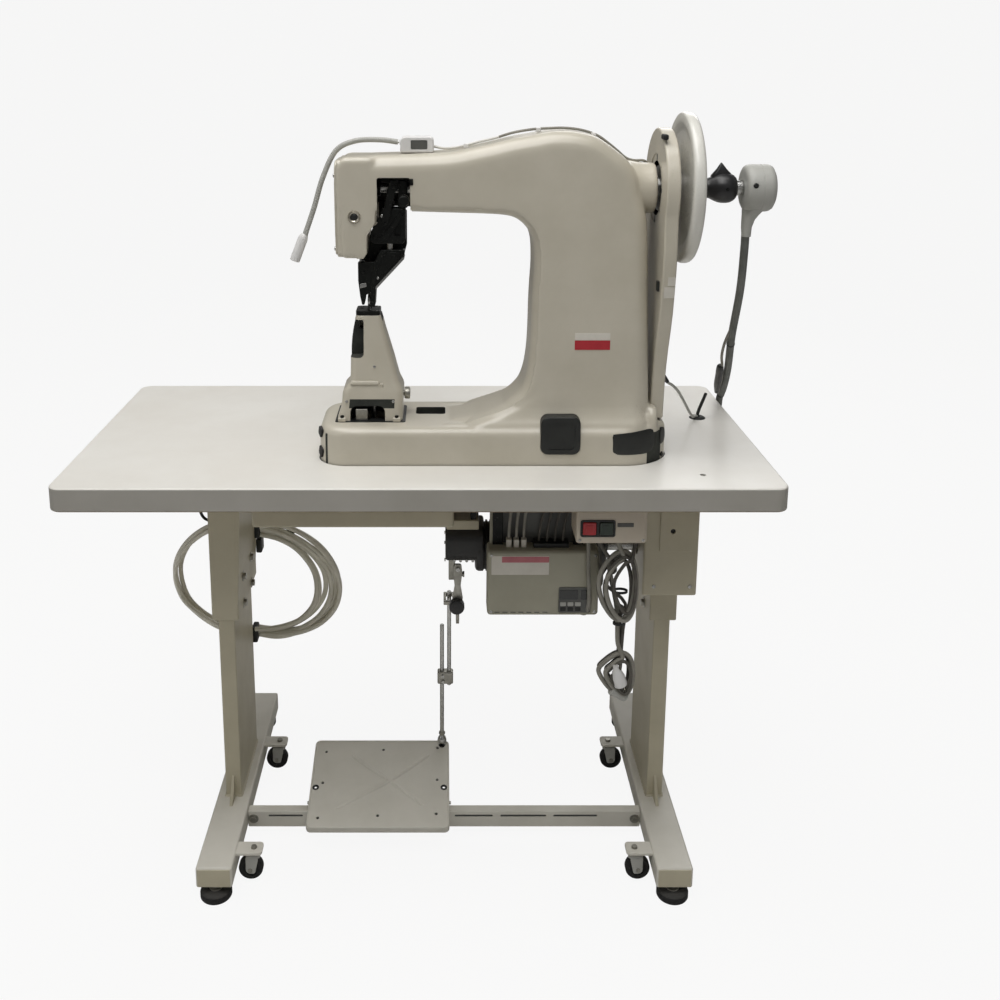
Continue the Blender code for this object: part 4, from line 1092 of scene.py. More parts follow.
lower_shaft = lathe([
    (0, -134), (5.4, -134), (6, -133.4), (6, -131), (13, -130.4), (13.5, -129.8),
    (13.5, -108.6), (13, -108), (6, -107), (6, 240), *BELT_PULLEY, (6, 260.5), (6, 329.4),
    (5.4, 330), (0, 330)], "x", HEAD_Y, LOWER_Z, 56)
piece("lower_shaft_fine", lower_shaft, "lower_shaft", "lower_shaft", mat=TURNED,
      slot="bright_steel")


def loop(top, top_radius, bottom, bottom_radius, n=36):
    """Outline (y, z) stretched round two circles."""
    dy, dz = top[0] - bottom[0], top[1] - bottom[1]
    base = math.atan2(dz, dy)
    wrap = math.pi - math.acos((top_radius - bottom_radius) / math.hypot(dy, dz))
    out = []
    for c, r, first, last in ((top, top_radius, base - wrap, base + wrap),
                              (bottom, bottom_radius, base + wrap, base + 2 * math.pi - wrap)):
        for k in range(n + 1):
            a = first + (last - first) * k / n
            out.append((c[0] + r * math.cos(a), c[1] + r * math.sin(a)))
    return out


def belt_band(x0, x1, top, top_radius, bottom, bottom_radius, thick, vee=0.0):
    """Closed belt; vee narrows each side of its inner face."""
    inner = loop(top, top_radius, bottom, bottom_radius)
    outer = loop(top, top_radius + thick, bottom, bottom_radius + thick)
    bm = bmesh.new()
    rows = []
    for a, b in zip(inner, outer):
        corners = ((x0 + vee, *a), (x1 - vee, *a), (x1, *b), (x0, *b))
        rows.append([bm.verts.new(point(*c)) for c in corners])
    for i, p in enumerate(rows):
        q = rows[(i + 1) % len(rows)]
        for k in range(4):
            j = (k + 1) % 4
            bm.faces.new([p[k], p[j], q[j], q[k]])
    return from_bmesh(bm)


vee_belt = belt_band(368, 374, (HEAD_Y, SHAFT_Z), 34.5, (MOTOR_Y, MOTOR_Z), 24.5, thick=5.5,
                     vee=1.2)
piece("vee_belt", vee_belt, HEAD, "drive_belt", mat=BELT, slot="rubber", sharp=45)
toothed_belt = belt_band(245, 255, (HEAD_Y, SHAFT_Z), 21.5, (HEAD_Y, LOWER_Z), 21.5, thick=2.5)
piece("toothed_belt", toothed_belt, HEAD, "timing_belt", mat=BELT, slot="rubber", sharp=45)


# ================================================================= handwheel end
def handwheel():
    wheel = spun(WHITE, [
        (8.5, 361.5), (18.4, 361.5), (19, 362), (19, 363.9), (37.4, 364.3), (38, 365),
        (38, 365.6), (30.6, 370), (30.6, 372), (38, 377.4), (38, 378), (37.4, 378.5),
        (26.6, 379.2), (26, 380), (26, 399.6), (34, 400.4), (94, 404), (100, 403.4), (108, 400),
        (113, 399), (122.6, 399.3), (125.4, 401), (126.8, 404), (127, 406.5), (127, 412),
        (126, 415.6), (123.6, 418.4), (120, 419.5), (113, 419.5), (110, 418.6), (106.5, 415),
        (102, 412.8), (97, 412), (36, 412), (33.4, 412.8), (31.4, 417.6), (29.6, 419.3),
        (27.6, 419.5), (8.5, 419.5)], "x", HEAD_Y, SHAFT_Z, 112, ring=True)
    zone(wheel, TURNED, lambda x, y, z, n: x < 379.6 or off_shaft(y, z) < 29.5)
    bits = [wheel]
    for k in range(3):
        a = 2 * math.pi * k / 3 + 0.6
        bits.append(screw((411.9, HEAD_Y + 52 * math.cos(a), SHAFT_Z + 52 * math.sin(a)), RIGHT,
                          4.2, 2.6, "socket", OXIDE))
    bits.append(spun(WHITE, [(88, 411.6), (91, 411.6), (91, 412.7), (88, 412.7)],
                     "x", HEAD_Y, SHAFT_Z, 96, ring=True))
    return merge(*bits)


piece("handwheel_fine", handwheel(), "main_shaft", "handwheel", slot="white_paint")


def coupling():
    body = spun(PHENOLIC, [
        (8.5, 420), (16.4, 420), (17, 421), (16, 426), (15, 434), (15.6, 444), (18, 452),
        (21.6, 459), (24.4, 466), (25.5, 472), (25.6, 480), (24.6, 486), (21.6, 491.6),
        (18, 495), (16, 496), (8.5, 496)], "x", HEAD_Y, SHAFT_Z, ring=True)
    # height over the shaft, centre x, half sizes in x and y
    sections = ((10, 472, 21, 8), (21, 472, 18, 7.6), (26, 471.5, 13.5, 7), (32, 471, 8, 5.6),
                (38, 470.4, 4, 3.6), (41.4, 470, 1.6, 1.6), (42.4, 470, 0.7, 0.7))
    spike = loft([level(rounded(x - a, x + a, HEAD_Y - b, HEAD_Y + b, min(a, b) * 0.6, 4),
                        SHAFT_Z + rise) for rise, x, a, b in sections])
    collar = spun(STEEL, [(8.2, 496), (12.6, 496), (13, 496.6), (13, 506), (12.6, 506.6),
                          (8.2, 506.6)], "x", HEAD_Y, SHAFT_Z, 40, ring=True)
    return merge(body, paint(spike, PHENOLIC), collar,
                 screw((476, HEAD_Y - 25.3, SHAFT_Z), FRONT, 3.0, 1.0, "socket", OXIDE))


piece("shaft_end_coupling_fine", coupling(), "main_shaft", "shaft_end_coupling", slot="rubber")


def synchronizer():
    body = spun(GREY, [
        (9, 508), (28, 508), (33, 508.6), (36.6, 510.6), (38.8, 514), (39.8, 518.4), (40, 523),
        (40, 533.6), (39.5, 534.2), (39.5, 535.2), (40, 535.8), (40, 546), (39.2, 550.6),
        (36.4, 555), (31, 558), (22, 559), (0, 559), (0, 538), (9, 538)],
        "x", HEAD_Y, SHAFT_Z, 88, ring=True)
    button = paint(rod("y", -143.8, -137, 520, 1250, 4.0, 28, 0.8), BLACK)
    end_ring = spun(GREY, [(12, 558.4), (18, 558.4), (18, 559.8), (12, 559.8)],
                    "x", HEAD_Y, SHAFT_Z, 48, ring=True)
    cut(body, rod("y", -160, -141.8, 520, 1250, 4.8, 28))
    # cable boot: z, centre x, half sizes in x and y
    sections = ((1216, 530, 20, 24), (1206, 527.6, 18, 21), (1198, 524, 14.4, 15.4),
                (1189, 520.6, 11.2, 11.4), (1176, 518.4, 9, 9), (1160, 518.8, 7.8, 7.8))
    turns = [2 * math.pi * k / 40 for k in range(40)]
    boot = loft([[(x + rx * math.cos(a), HEAD_Y + 1 + ry * math.sin(a), z) for a in turns]
                 for z, x, rx, ry in sections])
    return merge(body, button, end_ring, paint(boot, GREY))


piece("synchronizer_fine", synchronizer(), HEAD, "synchronizer", slot="grey_plastic")


def synchronizer_cable():
    path = curve_through([
        (517.6, HEAD_Y, 1190), (518, -102, 1174), (521, -90, 1134), (526, -60, 1058),
        (532, 0, 962), (552, 90, 875), (571, 186, 808), (577.5, 236, 774), (577.5, 247, 744),
        (566, 240, 722), (540, 218, 712), (510, 186, 710), (478, 150, 710)], 9)
    bits = [paint(tube(path, 7, 20), STRAP)]
    for i in (38, 60):
        tie = spun(BLACK, [(6.6, -2), (7.7, -1.6), (7.7, 1.6), (6.6, 2)], "z", 0, 0, 32, ring=True)
        bits.append(turn_to(tie, path[i], path[i + 1] - path[i]))
    return merge(*bits)


piece("synchronizer_cable_fine", synchronizer_cable(), HEAD, "synchronizer_cable",
      slot="grey_cable")
second_lead = merge(
    run(CABLE, [(529, -22, 990), (525, -6, 968), (523, 16, 940), (526, 40, 912), (534, 64, 888),
                (544, 100, 858), (552, 140, 832), (562, 190, 800)], 8, 2.6),
    run(BLACK, [(531, 66, 886), (540, 106, 856), (548, 146, 828), (560, 196, 797)], 6,
        [5.0, 6.6, 7.0] + [7.2] * 7 + [7.0, 6.8, 6.6, 6.4, 6.0, 5.4, 5.0, 4.6, 4.2], 16))
piece("second_synchro_lead", second_lead, HEAD)

# ================================================================= belt guards
# front and rear edges of the upper guard's tail: (y, z)
GUARD_FRONT = [(-200.5, 1150), (-197, 1110), (-191, 1074), (-184, 1040), (-172, 1005),
               (-160, 975), (-151, 946), (-145, 920), (-140.5, 884), (-138, 846)]
GUARD_REAR = [(-62, 846), (-59.6, 884), (-56, 920), (-51, 960), (-44, 1000), (-35.6, 1040),
              (-26, 1080), (-17, 1120)]


def guard_outline(inset, drop=0.0):
    """Round head with a tapering tail, its low end moved by drop."""
    head = arc(HEAD_Y, SHAFT_Z, 101 - inset, range(-24, 205, 6))
    front = [(y + inset, z + (drop if z < 850 else 0)) for y, z in GUARD_FRONT]
    rear = [(y - inset, z + (drop if z < 850 else 0)) for y, z in GUARD_REAR]
    return head + front + rear


def guard_lining(x, y, z, n):
    """Black inside of the shell."""
    return (361.9 < x < 382.3 and (off_shaft(y, z) < 98.8 or z < 1200)
            and not (n.y < -0.2 and y < -160)
            and (abs(n.x) > 0.8 or (off_shaft(y, z) < 98.9 and z > 1180)))


def upper_guard():
    shell = soften(prism(guard_outline(0), "x", 360.5, 383.5), 4.0, 5, 60)
    cut(shell, prism(guard_outline(2.4, -6), "x", 362.8, 381.4))
    cut(shell, rod("x", 355, 363.4, HEAD_Y, SHAFT_Z, 46, 72),
        rod("x", 380, 390, HEAD_Y, SHAFT_Z, 44, 72))
    cut(shell, lathe([(45, 359), (58, 359), (58, 361.7), (45, 361.7)],
                     "x", HEAD_Y, SHAFT_Z, 80, ring=True))
    paint(shell, CAST)
    zone(shell, BLACK, guard_lining)
    # floor of the ring recess round the boss in dark grey: painted shade
    zone(shell, DARK_GREY,
         lambda x, y, z, n: 361.2 < x < 362 and n.x < -0.8 and 51 < off_shaft(y, z) < 92.4)
    return merge(
        shell,
        *screws([(383.4, -186, 1190), (383.4, -24, 1190), (383.4, -138, 950), (383.4, -68, 905)],
                RIGHT, 3.8, 2.0, "cross"),
        paint(prism([(-190.9, 1070), (-194.2, 1089), (-193.0, 1089), (-189.4, 1070)],
                    "x", 365, 382), LABEL),
        paint(prism([(-194.5, 1091), (-197.2, 1106), (-196.0, 1106), (-193.3, 1091)],
                    "x", 370, 382), LABEL),
        soft_box(BLACK, (356.6, 361, -176, -164, 1078, 1095), 0.8, 2),
        soft_box(RUBBER, (357.4, 366, HEAD_Y - 72, HEAD_Y - 46, SHAFT_Z + 84, SHAFT_Z + 93), 3, 4))


piece("upper_belt_guard_fine", upper_guard(), HEAD, "upper_belt_guard", slot="cast_paint",
      sharp=40)


def lower_guard():
    hole_x, hole_z = 403.7, 650
    shell = soften(box(354, 384, -166, -42, 527, BUTT_Z), 4.0, 4, 60)
    join(shell, soften(box(366, 450, -166, -91, 527, BUTT_Z), 4.0, 4, 60))
    cut(shell, box(356.6, 381.6, -163.4, -44.6, 529.6, 745),
        box(368.6, 447.4, -163.4, -93.6, 529.6, 745))
    cut(shell, rod("x", 350, 360, MOTOR_Y, MOTOR_Z, 16, 40),
        rod("y", -170, -160, hole_x, hole_z, 4.6, 32))
    paint(shell, STAND)
    cap = soft_prism(STAND, fillet([(381, 612, 2), (446, 612, 2), (446, 700, 10), (434, 716, 10),
                                    (381, 716, 2)], steps=5), "y", -168.2, -165.4, 1.0)
    cut(cap, rod("y", -175, -160, hole_x, hole_z, 4.6, 32))
    disc = paint(rod("y", -164.5, -163.2, hole_x, hole_z, 7, 28), BLACK)
    return merge(shell, cap, disc,
                 *screws([(374, -166, 545), (438, -166, 545), (374, -166, 725),
                          (440, -166, 726)], FRONT, 3.6, 1.8, "cross"))


piece("lower_belt_guard_fine", lower_guard(), HEAD, "lower_belt_guard", slot="stand_paint")
band = run(DARK_CABLE, [(452, -60, 728), (461, -64, 700), (459, -72, 668), (449, -80, 634),
                        (436, -86, 604)], 8, 6.5, flat=0.35)
piece("guard_side_band", band, HEAD)

# ================================================================= lamp
lamp_box = soften(prism(fillet([(-70, 1303.5, 5), (-13, 1303.5, 5), (-14.5, 1330, 7),
                                (-67.5, 1330, 7)]), "y", -132, -94), 2.6, 4)
cut(lamp_box, prism(rounded(-52, -24, 1309, 1324.5, 2, 4), "y", -140, -130.6))
window = paint(prism(rounded(-51.6, -24.4, 1309.4, 1324.1, 1.8, 4), "y", -131.4, -130), DARK_GREY)
piece("lamp_power_box",
      merge(paint(lamp_box, LAMP_WHITE), window,
            soft_box(LAMP_WHITE, (-70.7, -69.6, -117, -107, 1315.5, 1324.5), 0.3, 2)),
      HEAD, "lamp_box", slot="white_plastic")


def gooseneck():
    path = curve_through([
        (-73.4, -112, 1320.2), (-105, -113, 1324), (-145, -114, 1322), (-177, -116, 1306),
        (-199.5, -118, 1262), (-215, -120, 1212), (-229, -122, 1172), (-231.6, -122, 1163)], 12)
    neck = paint(tube(path, 4.4, 20, round_ends=False), GREY)
    rings = [paint(rod("x", -73.6, -71.5, -112, 1320, 2.0, 20), STEEL)]
    for i in range(2, len(path) - 2):
        ring = spun(GREY, [(4.1, -0.9), (4.75, -0.5), (4.75, 0.5), (4.1, 0.9)],
                    "z", 0, 0, 20, ring=True)
        rings.append(turn_to(ring, path[i], path[i + 1] - path[i]))
    aim = Vector((-250, -124, 1120)) - Vector((-232, -122, 1166))
    head = spun(LAMP_WHITE, [(0, 0), (4.5, 0), (6.8, 3), (8.4, 9), (8.6, 44), (8.2, 48.6),
                             (7.4, 49.2), (7.0, 47.6), (0, 47.6)], "z", 0, 0, 40)
    lens = spun(LENS, [(0, 47.2), (6.9, 47.2), (6.4, 48.2), (4, 49), (0, 49.4)], "z", 0, 0, 32)
    for ob in (head, lens):
        turn_to(ob, (-232, -122, 1167), aim)
    return merge(neck, head, lens, *rings)


piece("lamp_gooseneck_fine", gooseneck(), "lamp_arm", "lamp_gooseneck", slot="white_plastic")


def lamp_lead():
    wire = run(WHITE_CABLE, [
        (-13.2, -112, 1313), (6, -114, 1309.8), (30, -115, 1312.6), (62, -116, 1321),
        (90, -116.6, 1327.6), (118, -117, 1336), (150, -117, 1341.4), (180, -117, 1343.4),
        (206, -117, 1343.6), (232, -116, 1340.2), (258, -115, 1331.6), (278, -113, 1318),
        (294, -110, 1305.4), (308, -108, 1294), (322, -105, 1289.4), (340, -98, 1288.4),
        (350, -80, 1280), (353, -60, 1262), (352, -46, 1240), (350, -38.6, 1200),
        (352, -38, 1100), (352, -38, 980), (354, -30, 880), (352, -13, 845), (352, -8, 800),
        (352, -8, 781)], 6, 2.3, 10)
    clips = [soft_box(LAMP_WHITE, (x - 4, x + 4, -121.5, -111.5, z - 4.2, z + 3.2), 1.4)
             for x, z in ((40, 1314.8), (160, 1341.4), (252, 1333.4))]
    return merge(zone(wire, CABLE, lambda x, y, z, n: x > 96), *clips)


piece("lamp_power_lead", lamp_lead(), HEAD)


# ================================================================= table
def table_top():
    screw_x, screw_y = 433.3, -237
    top = soften(prism(rounded(-638, 562, -300, 300, 22, 12), "z", 739, 780), 3.4, 4, 60)
    cut(top, prism(base_line(2.5), "z", 758, 800), prism(base_line(-13), "z", 730, 765),
        box(364, 378.5, -140, -62, 730, 765), rod("z", 730, 790, PEG_X, PEG_Y, 11, 40))
    cut(top, rod("z", 778.6, 785, screw_x, screw_y, 5.2, 28))
    # every face but the top and the underside takes the darker laminate copy: painted shade
    paint(top, TABLE_SIDE_SHADE)
    zone(top, LAMINATE, lambda x, y, z, n: n.z > 0.45 and z > 776)
    zone(top, BOARD, lambda x, y, z, n: n.z < -0.45 and z < 760)
    return merge(top, screw((screw_x, screw_y, 778.4), UP, 4.4, 1.5, "cross", ZINC))


piece("table_top_fine", table_top(), HEAD, "table_top", slot="table_laminate")

grommet = spun(BLACK, [(5.5, 779.6), (5.5, 783.2), (6.6, 784), (12, 783), (15.4, 780.6),
                       (15.6, 779.6)], "z", PEG_X, PEG_Y, 56, ring=True)
peg = tube([(494, 75, 772), (494, 75, 784), (495, 75.2, 790), (497.4, 75.5, 798),
            (509, 77, 828)], 3.1, 18)
peg_plug = spun(BLACK, [(0, 771), (9.4, 771), (9.4, 779.8), (0, 779.8)], "z", PEG_X, PEG_Y, 40)
piece("head_rest_peg_fine", merge(grommet, paint(peg, BLACK), peg_plug), HEAD, "head_rest_peg",
      slot="black_plastic")
peg_lead = run(GREY, [
    (396, -80, 903), (403, -74, 893), (414, -60, 884), (430, -32, 866), (446, -4, 842),
    (462, 26, 816), (474, 48, 797), (482, 60, 787.5), (489, 68, 786), (492, 71, 784)], 8, 2.6, 12)
strain_relief = spun(BLACK, [(0, -12), (3.2, -12), (3.6, -10), (4.8, 4), (5.8, 6), (5.8, 10),
                             (0, 10)], "z", 0, 0, 28)
turn_to(strain_relief, (394, -80.6, 905), (-0.75, -0.1, 1.0))
piece("peg_side_lead", merge(peg_lead, strain_relief), HEAD)

pan = soften(box(-325, 20, -205, -8, 672, BUTT_Z), 5, 4)
cut(pan, box(-323, 18, -203, -10, 674, 745))
pan = merge(paint(pan, STAND), soft_box(STAND, (-329, -324, -207, -6, 735.7, BUTT_Z), 0.8, 2),
            *screws([(x, -205, 729) for x in (-300, -150, 0)], FRONT, 3.2, 1.6, "cross"))
piece("drip_pan_fine", pan, HEAD, "drip_pan", slot="stand_paint")
drain = spun(BLACK, [(0, 664), (4, 664), (4, 669), (8, 669.6), (9, 670.4), (9, 672.4),
                     (0, 672.4)], "z", -150, -105, 32)
piece("pan_drain_plug", drain, HEAD)


# ================================================================= switch box
def button_holes():
    return [prism(rounded(x, x + 23, 684.5, 707.5, 2.5, 5), "y", -270, -254)
            for x in (232.5, 260.5)]


def switch_box():
    shell = soften(box(222, 340, -262, -192, 668, BUTT_Z), 6, 5)
    cut(shell, *button_holes())
    # seam round the bottom and sides
    cut(shell, box(215, 345, -236.4, -235.6, 660, 673), box(215, 226, -236.4, -235.6, 660, 736),
        box(336, 345, -236.4, -235.6, 660, 736))
    bezel = prism(rounded(229, 287, 681, 711, 4, 6), "y", -263.4, -261.6)
    cut(bezel, *button_holes())
    bits = [paint(shell, SWITCH_BEIGE), paint(soften(bezel, 0.5, 2), BLACK),
            soft_box(DARK_GREY, (290, 317, -262.6, -261.8, 698.5, 705.5), 0.2, 1)]
    bits += screws([(x, -261.8, z) for z in (675, 727) for x in (228.6, 333.4)], FRONT, 2.6, 1.2,
                   "cross")
    bits += [spun(BLACK, [(3.2, 660), (6.2, 660), (7, 661), (7, 666.6), (8.4, 667), (8.4, 669),
                          (3.2, 669)], "z", x, -226, 32, ring=True) for x in (268, 300, 326)]
    return merge(*bits)


piece("switch_box_fine", switch_box(), HEAD, "switch_box", slot="white_plastic")
for name, node, body, x, mat, slot in (
        ("start_button_fine", "on_button", "start_button", 261, GREEN, "green_plastic"),
        ("stop_button_fine", "off_button", "stop_button", 233, RED, "red_plastic")):
    button = soften(prism(rounded(x, x + 22, 685, 707, 2.2, 5), "y", -265, -257.5), 1.3, 4, 60)
    pad = soft_prism(mat, rounded(x + 5, x + 17, 690, 702, 2, 4), "y", -265.5, -264.6, 0.3, 2)
    piece(name, merge(paint(button, mat), pad), body, node, slot=slot)


# ================================================================= motor
def motor_profile():
    """(radius, x) of the barrel: grooves at a fixed pitch between the end shields."""
    profile = [(0, 60), (40, 60), (44, 62), (46, 66), (46, 74)]
    x = 76
    while x < 226:
        profile += [(42.6, x), (42.6, x + 2.6), (46, x + 3.2), (46, x + 6.4)]
        x += 7.4
    return profile + [(45.2, 230), (45.2, 232), (46, 233), (46, 284), (45.2, 288), (43, 291.6),
                      (36, 294), (26, 296), (26, 297), (12, 297.6), (12, 299.6), (0, 299.6)]


def motor():
    barrel = spun(MOTOR_BLACK, motor_profile(), "x", MOTOR_Y, MOTOR_Z, 84)
    bell = soften(prism(rounded(-140, -52, 574, 640, 24), "x", 6, 76), 5, 5)
    cut(bell, prism(rounded(-128, -64, 586, 628, 14, 6), "x", 0, 8.4))
    hanger = fillet([(-107, 526, 10), (-83, 526, 10), (-80, 580, 2), (-110, 580, 2)])
    bits = [barrel, paint(bell, MOTOR_BLACK), soft_prism(ZINC, hanger, "x", 12, 24, 1.6),
            soft_box(STAND, (8, 66, -134, -60, 638, 656), 2)]
    for x in (14, 56):
        bits.append(soft_box(OXIDE, (x - 5, x + 5, -130, -64, 650, 731.6), 1.4))
    bits.append(paint(rod("x", 20, 38, MOTOR_Y, LEVER_Z, 4, 32, 0.6), STEEL))
    bits.append(screw((38, MOTOR_Y, LEVER_Z), RIGHT, 6.0, 3.0, "hex", ZINC))
    for k, (side, rise) in enumerate(((1, 1), (-1, 1), (-1, -1), (1, -1))):
        a = math.radians(45 + 90 * k)
        bits.append(screw((6.2, -96 + 37 * side, 607 + 26 * rise), LEFT, 3.0, 2.0, "socket"))
        bits.append(screw((22 + 11 * k, -140, 582), FRONT, 2.6, 1.6, "socket"))
        bits.append(screw((293.2, MOTOR_Y + 36 * math.cos(a), MOTOR_Z + 36 * math.sin(a)), RIGHT,
                          3.2, 2.0, "socket"))
    return merge(*bits)


piece("motor_fine", motor(), HEAD, "motor", slot="motor_black", sharp=32)


def motor_bracket():
    bits = [soft_box(OXIDE, (96, 268, -160, -30, 732, BUTT_Z), 1.6, 2)]
    edge = fillet([(-135, 622, 10), (-55, 622, 10), (-48, 733, 1), (-142, 733, 1)])
    for x in (110, 248):
        web = soften(prism(edge, "x", x, x + 6), 0.8, 2)
        cut(web, rod("x", 90, 280, MOTOR_Y, MOTOR_Z, 46.5, 84),
            prism(rounded(-112, -78, 668, 708, 12, 6), "x", 90, 280))
        bits.append(paint(web, OXIDE))
    bits += screws([(x, y, 732) for x in (102, 262) for y in (-150, -40)], DOWN, 6.4, 4.2, "hex",
                   ZINC, washer=9)
    return merge(*bits)


piece("motor_bracket_fine", motor_bracket(), HEAD, "motor_bracket", slot="black_steel")


# ================================================================= control box
def front_panel(mat, x0, x1, z0, z1, radius, steps, y0, y1, width, segs=2):
    return soft_prism(mat, rounded(x0, x1, z0, z1, radius, steps), "y", y0, y1, width, segs)


def control_box():
    shell = soften(box(79, 274, -188, -141.6, 500, 622), 6.5, 5)
    # seam all round, then the recess for the key panel
    cut(shell, box(70, 280, -166.5, -165.3, 498, 503), box(70, 82, -166.5, -165.3, 498, 625),
        box(271, 280, -166.5, -165.3, 498, 625), box(70, 280, -166.5, -165.3, 619.5, 625))
    cut(shell, prism(rounded(202, 262, 504, 556, 4, 5), "y", -195, -186.6))
    bits = [
        paint(shell, BOX_GREY),
        # dark grey sheet from the box up to the table: painted shade under the table
        soft_box(DARK_GREY, (84, 270, -150, -146, 610, 731), 1.2),
        soft_box(BOX_GREY, (84, 106, -156, -149, 621, 731), 1.2),
        front_panel(DARK_GREY, 204, 260, 506, 554, 3, 5, -187.6, -186.2, 0.4),
        front_panel(DISPLAY, 206, 238, 531, 549, 1.6, 4, -188.3, -187, 0.3),
        front_panel(DISPLAY, 243, 256, 531, 549, 1.6, 4, -188.3, -187, 0.3)]
    for x in (207, 220, 233):
        for z, mat in ((509.5, BLACK), (519.1, GREY)):
            bits.append(front_panel(mat, x, x + 10, z, z + 7, 1.2, 3, -188.6, -187, 0.4))
    bits.append(front_panel(LABEL, 86, 186, 578, 613, 1, 3, -188.35, -187.6, 0.15, 1))
    bits.append(front_panel(PINK, 104, 186, 601, 612, 0.8, 3, -188.6, -188, 0.15, 1))
    for x in range(92, 177, 14):
        bits.append(soft_box(DARK_GREY, (x, x + 9, -188.6, -187.9, 506.5, 508), 0.2, 1))
    bits += screws([(x, -187.9, z) for z in (508, 614) for x in (86, 267)], FRONT, 2.8, 1.4,
                   "cross")
    # plugs and leads rising from the top
    for x in (117, 130, 143):
        bits.append(soft_box(LABEL, (x - 4.6, x + 4.6, -172, -158, 621, 636), 1.2))
        bits.append(run(CABLE, [(x, -165, 634), (x + 1, -164, 660), (x + 5, -160, 690),
                                (x + 16, -152, 715), (x + 20, -140, 729)], 5, 2.7, 10))
    bits.append(soft_box(BLACK, (160, 222, -174, -150, 621, 630), 1.6))
    for x, mat in ((170, DARK_CABLE), (184, DARK_CABLE), (198, DARK_CABLE), (212, DARK_CABLE)):
        mat = mat if x % 28 else CABLE
        bits.append(run(mat, [(x, -162, 629), (x + 2, -160, 655), (x + 10, -158, 690),
                              (x + 20, -150, 722)], 5, 2.3, 10))
    for x in (98, 240):
        bits.append(soft_box(OXIDE, (x - 9, x + 9, -160, -142, 612, 700), 1.4))
    return merge(*bits)


piece("control_box_fine", control_box(), HEAD, "control_box", slot="grey_plastic")
control_leads = merge(
    run(CABLE, [(244, -190, 735), (243, -196, 716), (246, -198, 690), (252, -197, 640),
                (254, -196, 590), (256, -194, 545), (256, -188, 516), (252, -178, 500),
                (240, -166, 497.4)], 8, 3.4, 12),
    run(DARK_CABLE, [(262, -186, 734), (266, -190, 700), (270, -191, 650), (276, -188, 600),
                     (280, -176, 560), (277, -160, 540), (271, -152, 530)], 8, 2.8, 12))
piece("control_leads", control_leads, HEAD)

pulley = lathe([
    (0, 300.2), (8.4, 300.2), (9, 300.8), (9, 362), (26.4, 362.6), (27, 363.2), (27, 364.4),
    (19.5, 369.6), (19.5, 372.4), (27, 377.4), (27, 378), (26.4, 378.4), (14, 378.8),
    (12, 380.1), (12, 380.5), (0, 380.5)], "x", MOTOR_Y, MOTOR_Z)
for k in range(5):
    a = 2 * math.pi * k / 5
    cut(pulley, rod("x", 377.6, 385, MOTOR_Y + 18 * math.cos(a), MOTOR_Z + 18 * math.sin(a),
                    2.6, 20))
piece("motor_pulley_fine", pulley, "motor_pulley", "motor_pulley", mat=TURNED,
      slot="bright_steel")


# ================================================================= stand
# In these functions leg is a leg's centre x and inward is +1 or -1, towards mid-stand.
PAD_PLACES = (("front", -264), ("rear", 266))
CASTER_PLACES = (("front", -222), ("rear", 105))
CASTER_OUT = 62                     # caster stem from the leg centre


def weld_bead(leg):
    """Rippled bead round the column where it meets the foot."""
    corners = [(leg - 15, -80), (leg + 15, -80), (leg + 15, 102), (leg - 15, 102),
               (leg - 15, -80)]
    path = []
    for (x0, y0), (x1, y1) in zip(corners, corners[1:]):
        n = max(4, int(math.hypot(x1 - x0, y1 - y0) / 4))
        path += [(x0 + (x1 - x0) * k / n, y0 + (y1 - y0) * k / n, 66.2) for k in range(n)]
    path.append(corners[0] + (66.2,))
    return paint(tube(path, [2.6 + 0.5 * math.sin(2.3 * i) for i in range(len(path))], 10), STAND)


def stand_foot(leg, inward):
    foot = soften(box(leg - 32, leg + 32, -280, 285, 26, 66), 4.2, 4)
    cut(foot, box(leg - 29, leg + 29, -245, 245, 20, 62.5))
    join(foot, soften(box(leg - 15, leg + 15, -80, 102, 60, 640), 2.4))
    cut(foot, box(leg - 12.5, leg + 12.5, -77.5, 99.5, 70, 660))
    for _, y in PAD_PLACES:
        cut(foot, rod("z", 20, 61.5, leg, y, 7.5, 28))
    # foot below 68 mm in the paler copy of the coat (painted light), column above in the stand
    # coat
    paint(foot, STAND_LIT_COPY)
    zone(foot, STAND, lambda x, y, z, n: z > 68)
    bits = [foot]
    x0, x1 = sorted((leg + inward * 30, leg + inward * 78))
    r0, r1 = (1, 7) if inward > 0 else (7, 1)
    for _, y in CASTER_PLACES:
        edge = fillet([(x0, y - 16, r0), (x1, y - 16, r1), (x1, y + 16, r1), (x0, y + 16, r0)],
                      steps=5)
        tab = soften(prism(edge, "z", 58, 63), 0.9, 2)
        cut(tab, rod("z", 50, 70, leg + inward * CASTER_OUT, y, 5.6, 28))
        bits.append(paint(tab, STAND_LIT_COPY))
    for y0, y1 in ((-281.2, -279.4), (284.4, 286.2)):       # end caps
        bits.append(soft_box(STAND, (leg - 29, leg + 29, y0, y1, 29, 63), 0.8))
    bits.append(weld_bead(leg))
    bits.append(soft_prism(STAND, [(-112, 65), (-79, 65), (-79, 112)], "x", leg - 3, leg + 3,
                           0.8, 2))
    bits.append(screw((leg + inward * 32 - inward * 0.2, -105.5, 41), (inward, 0, 0), 0.4, 0.2,
                      "socket", ZINC))
    return merge(*bits)


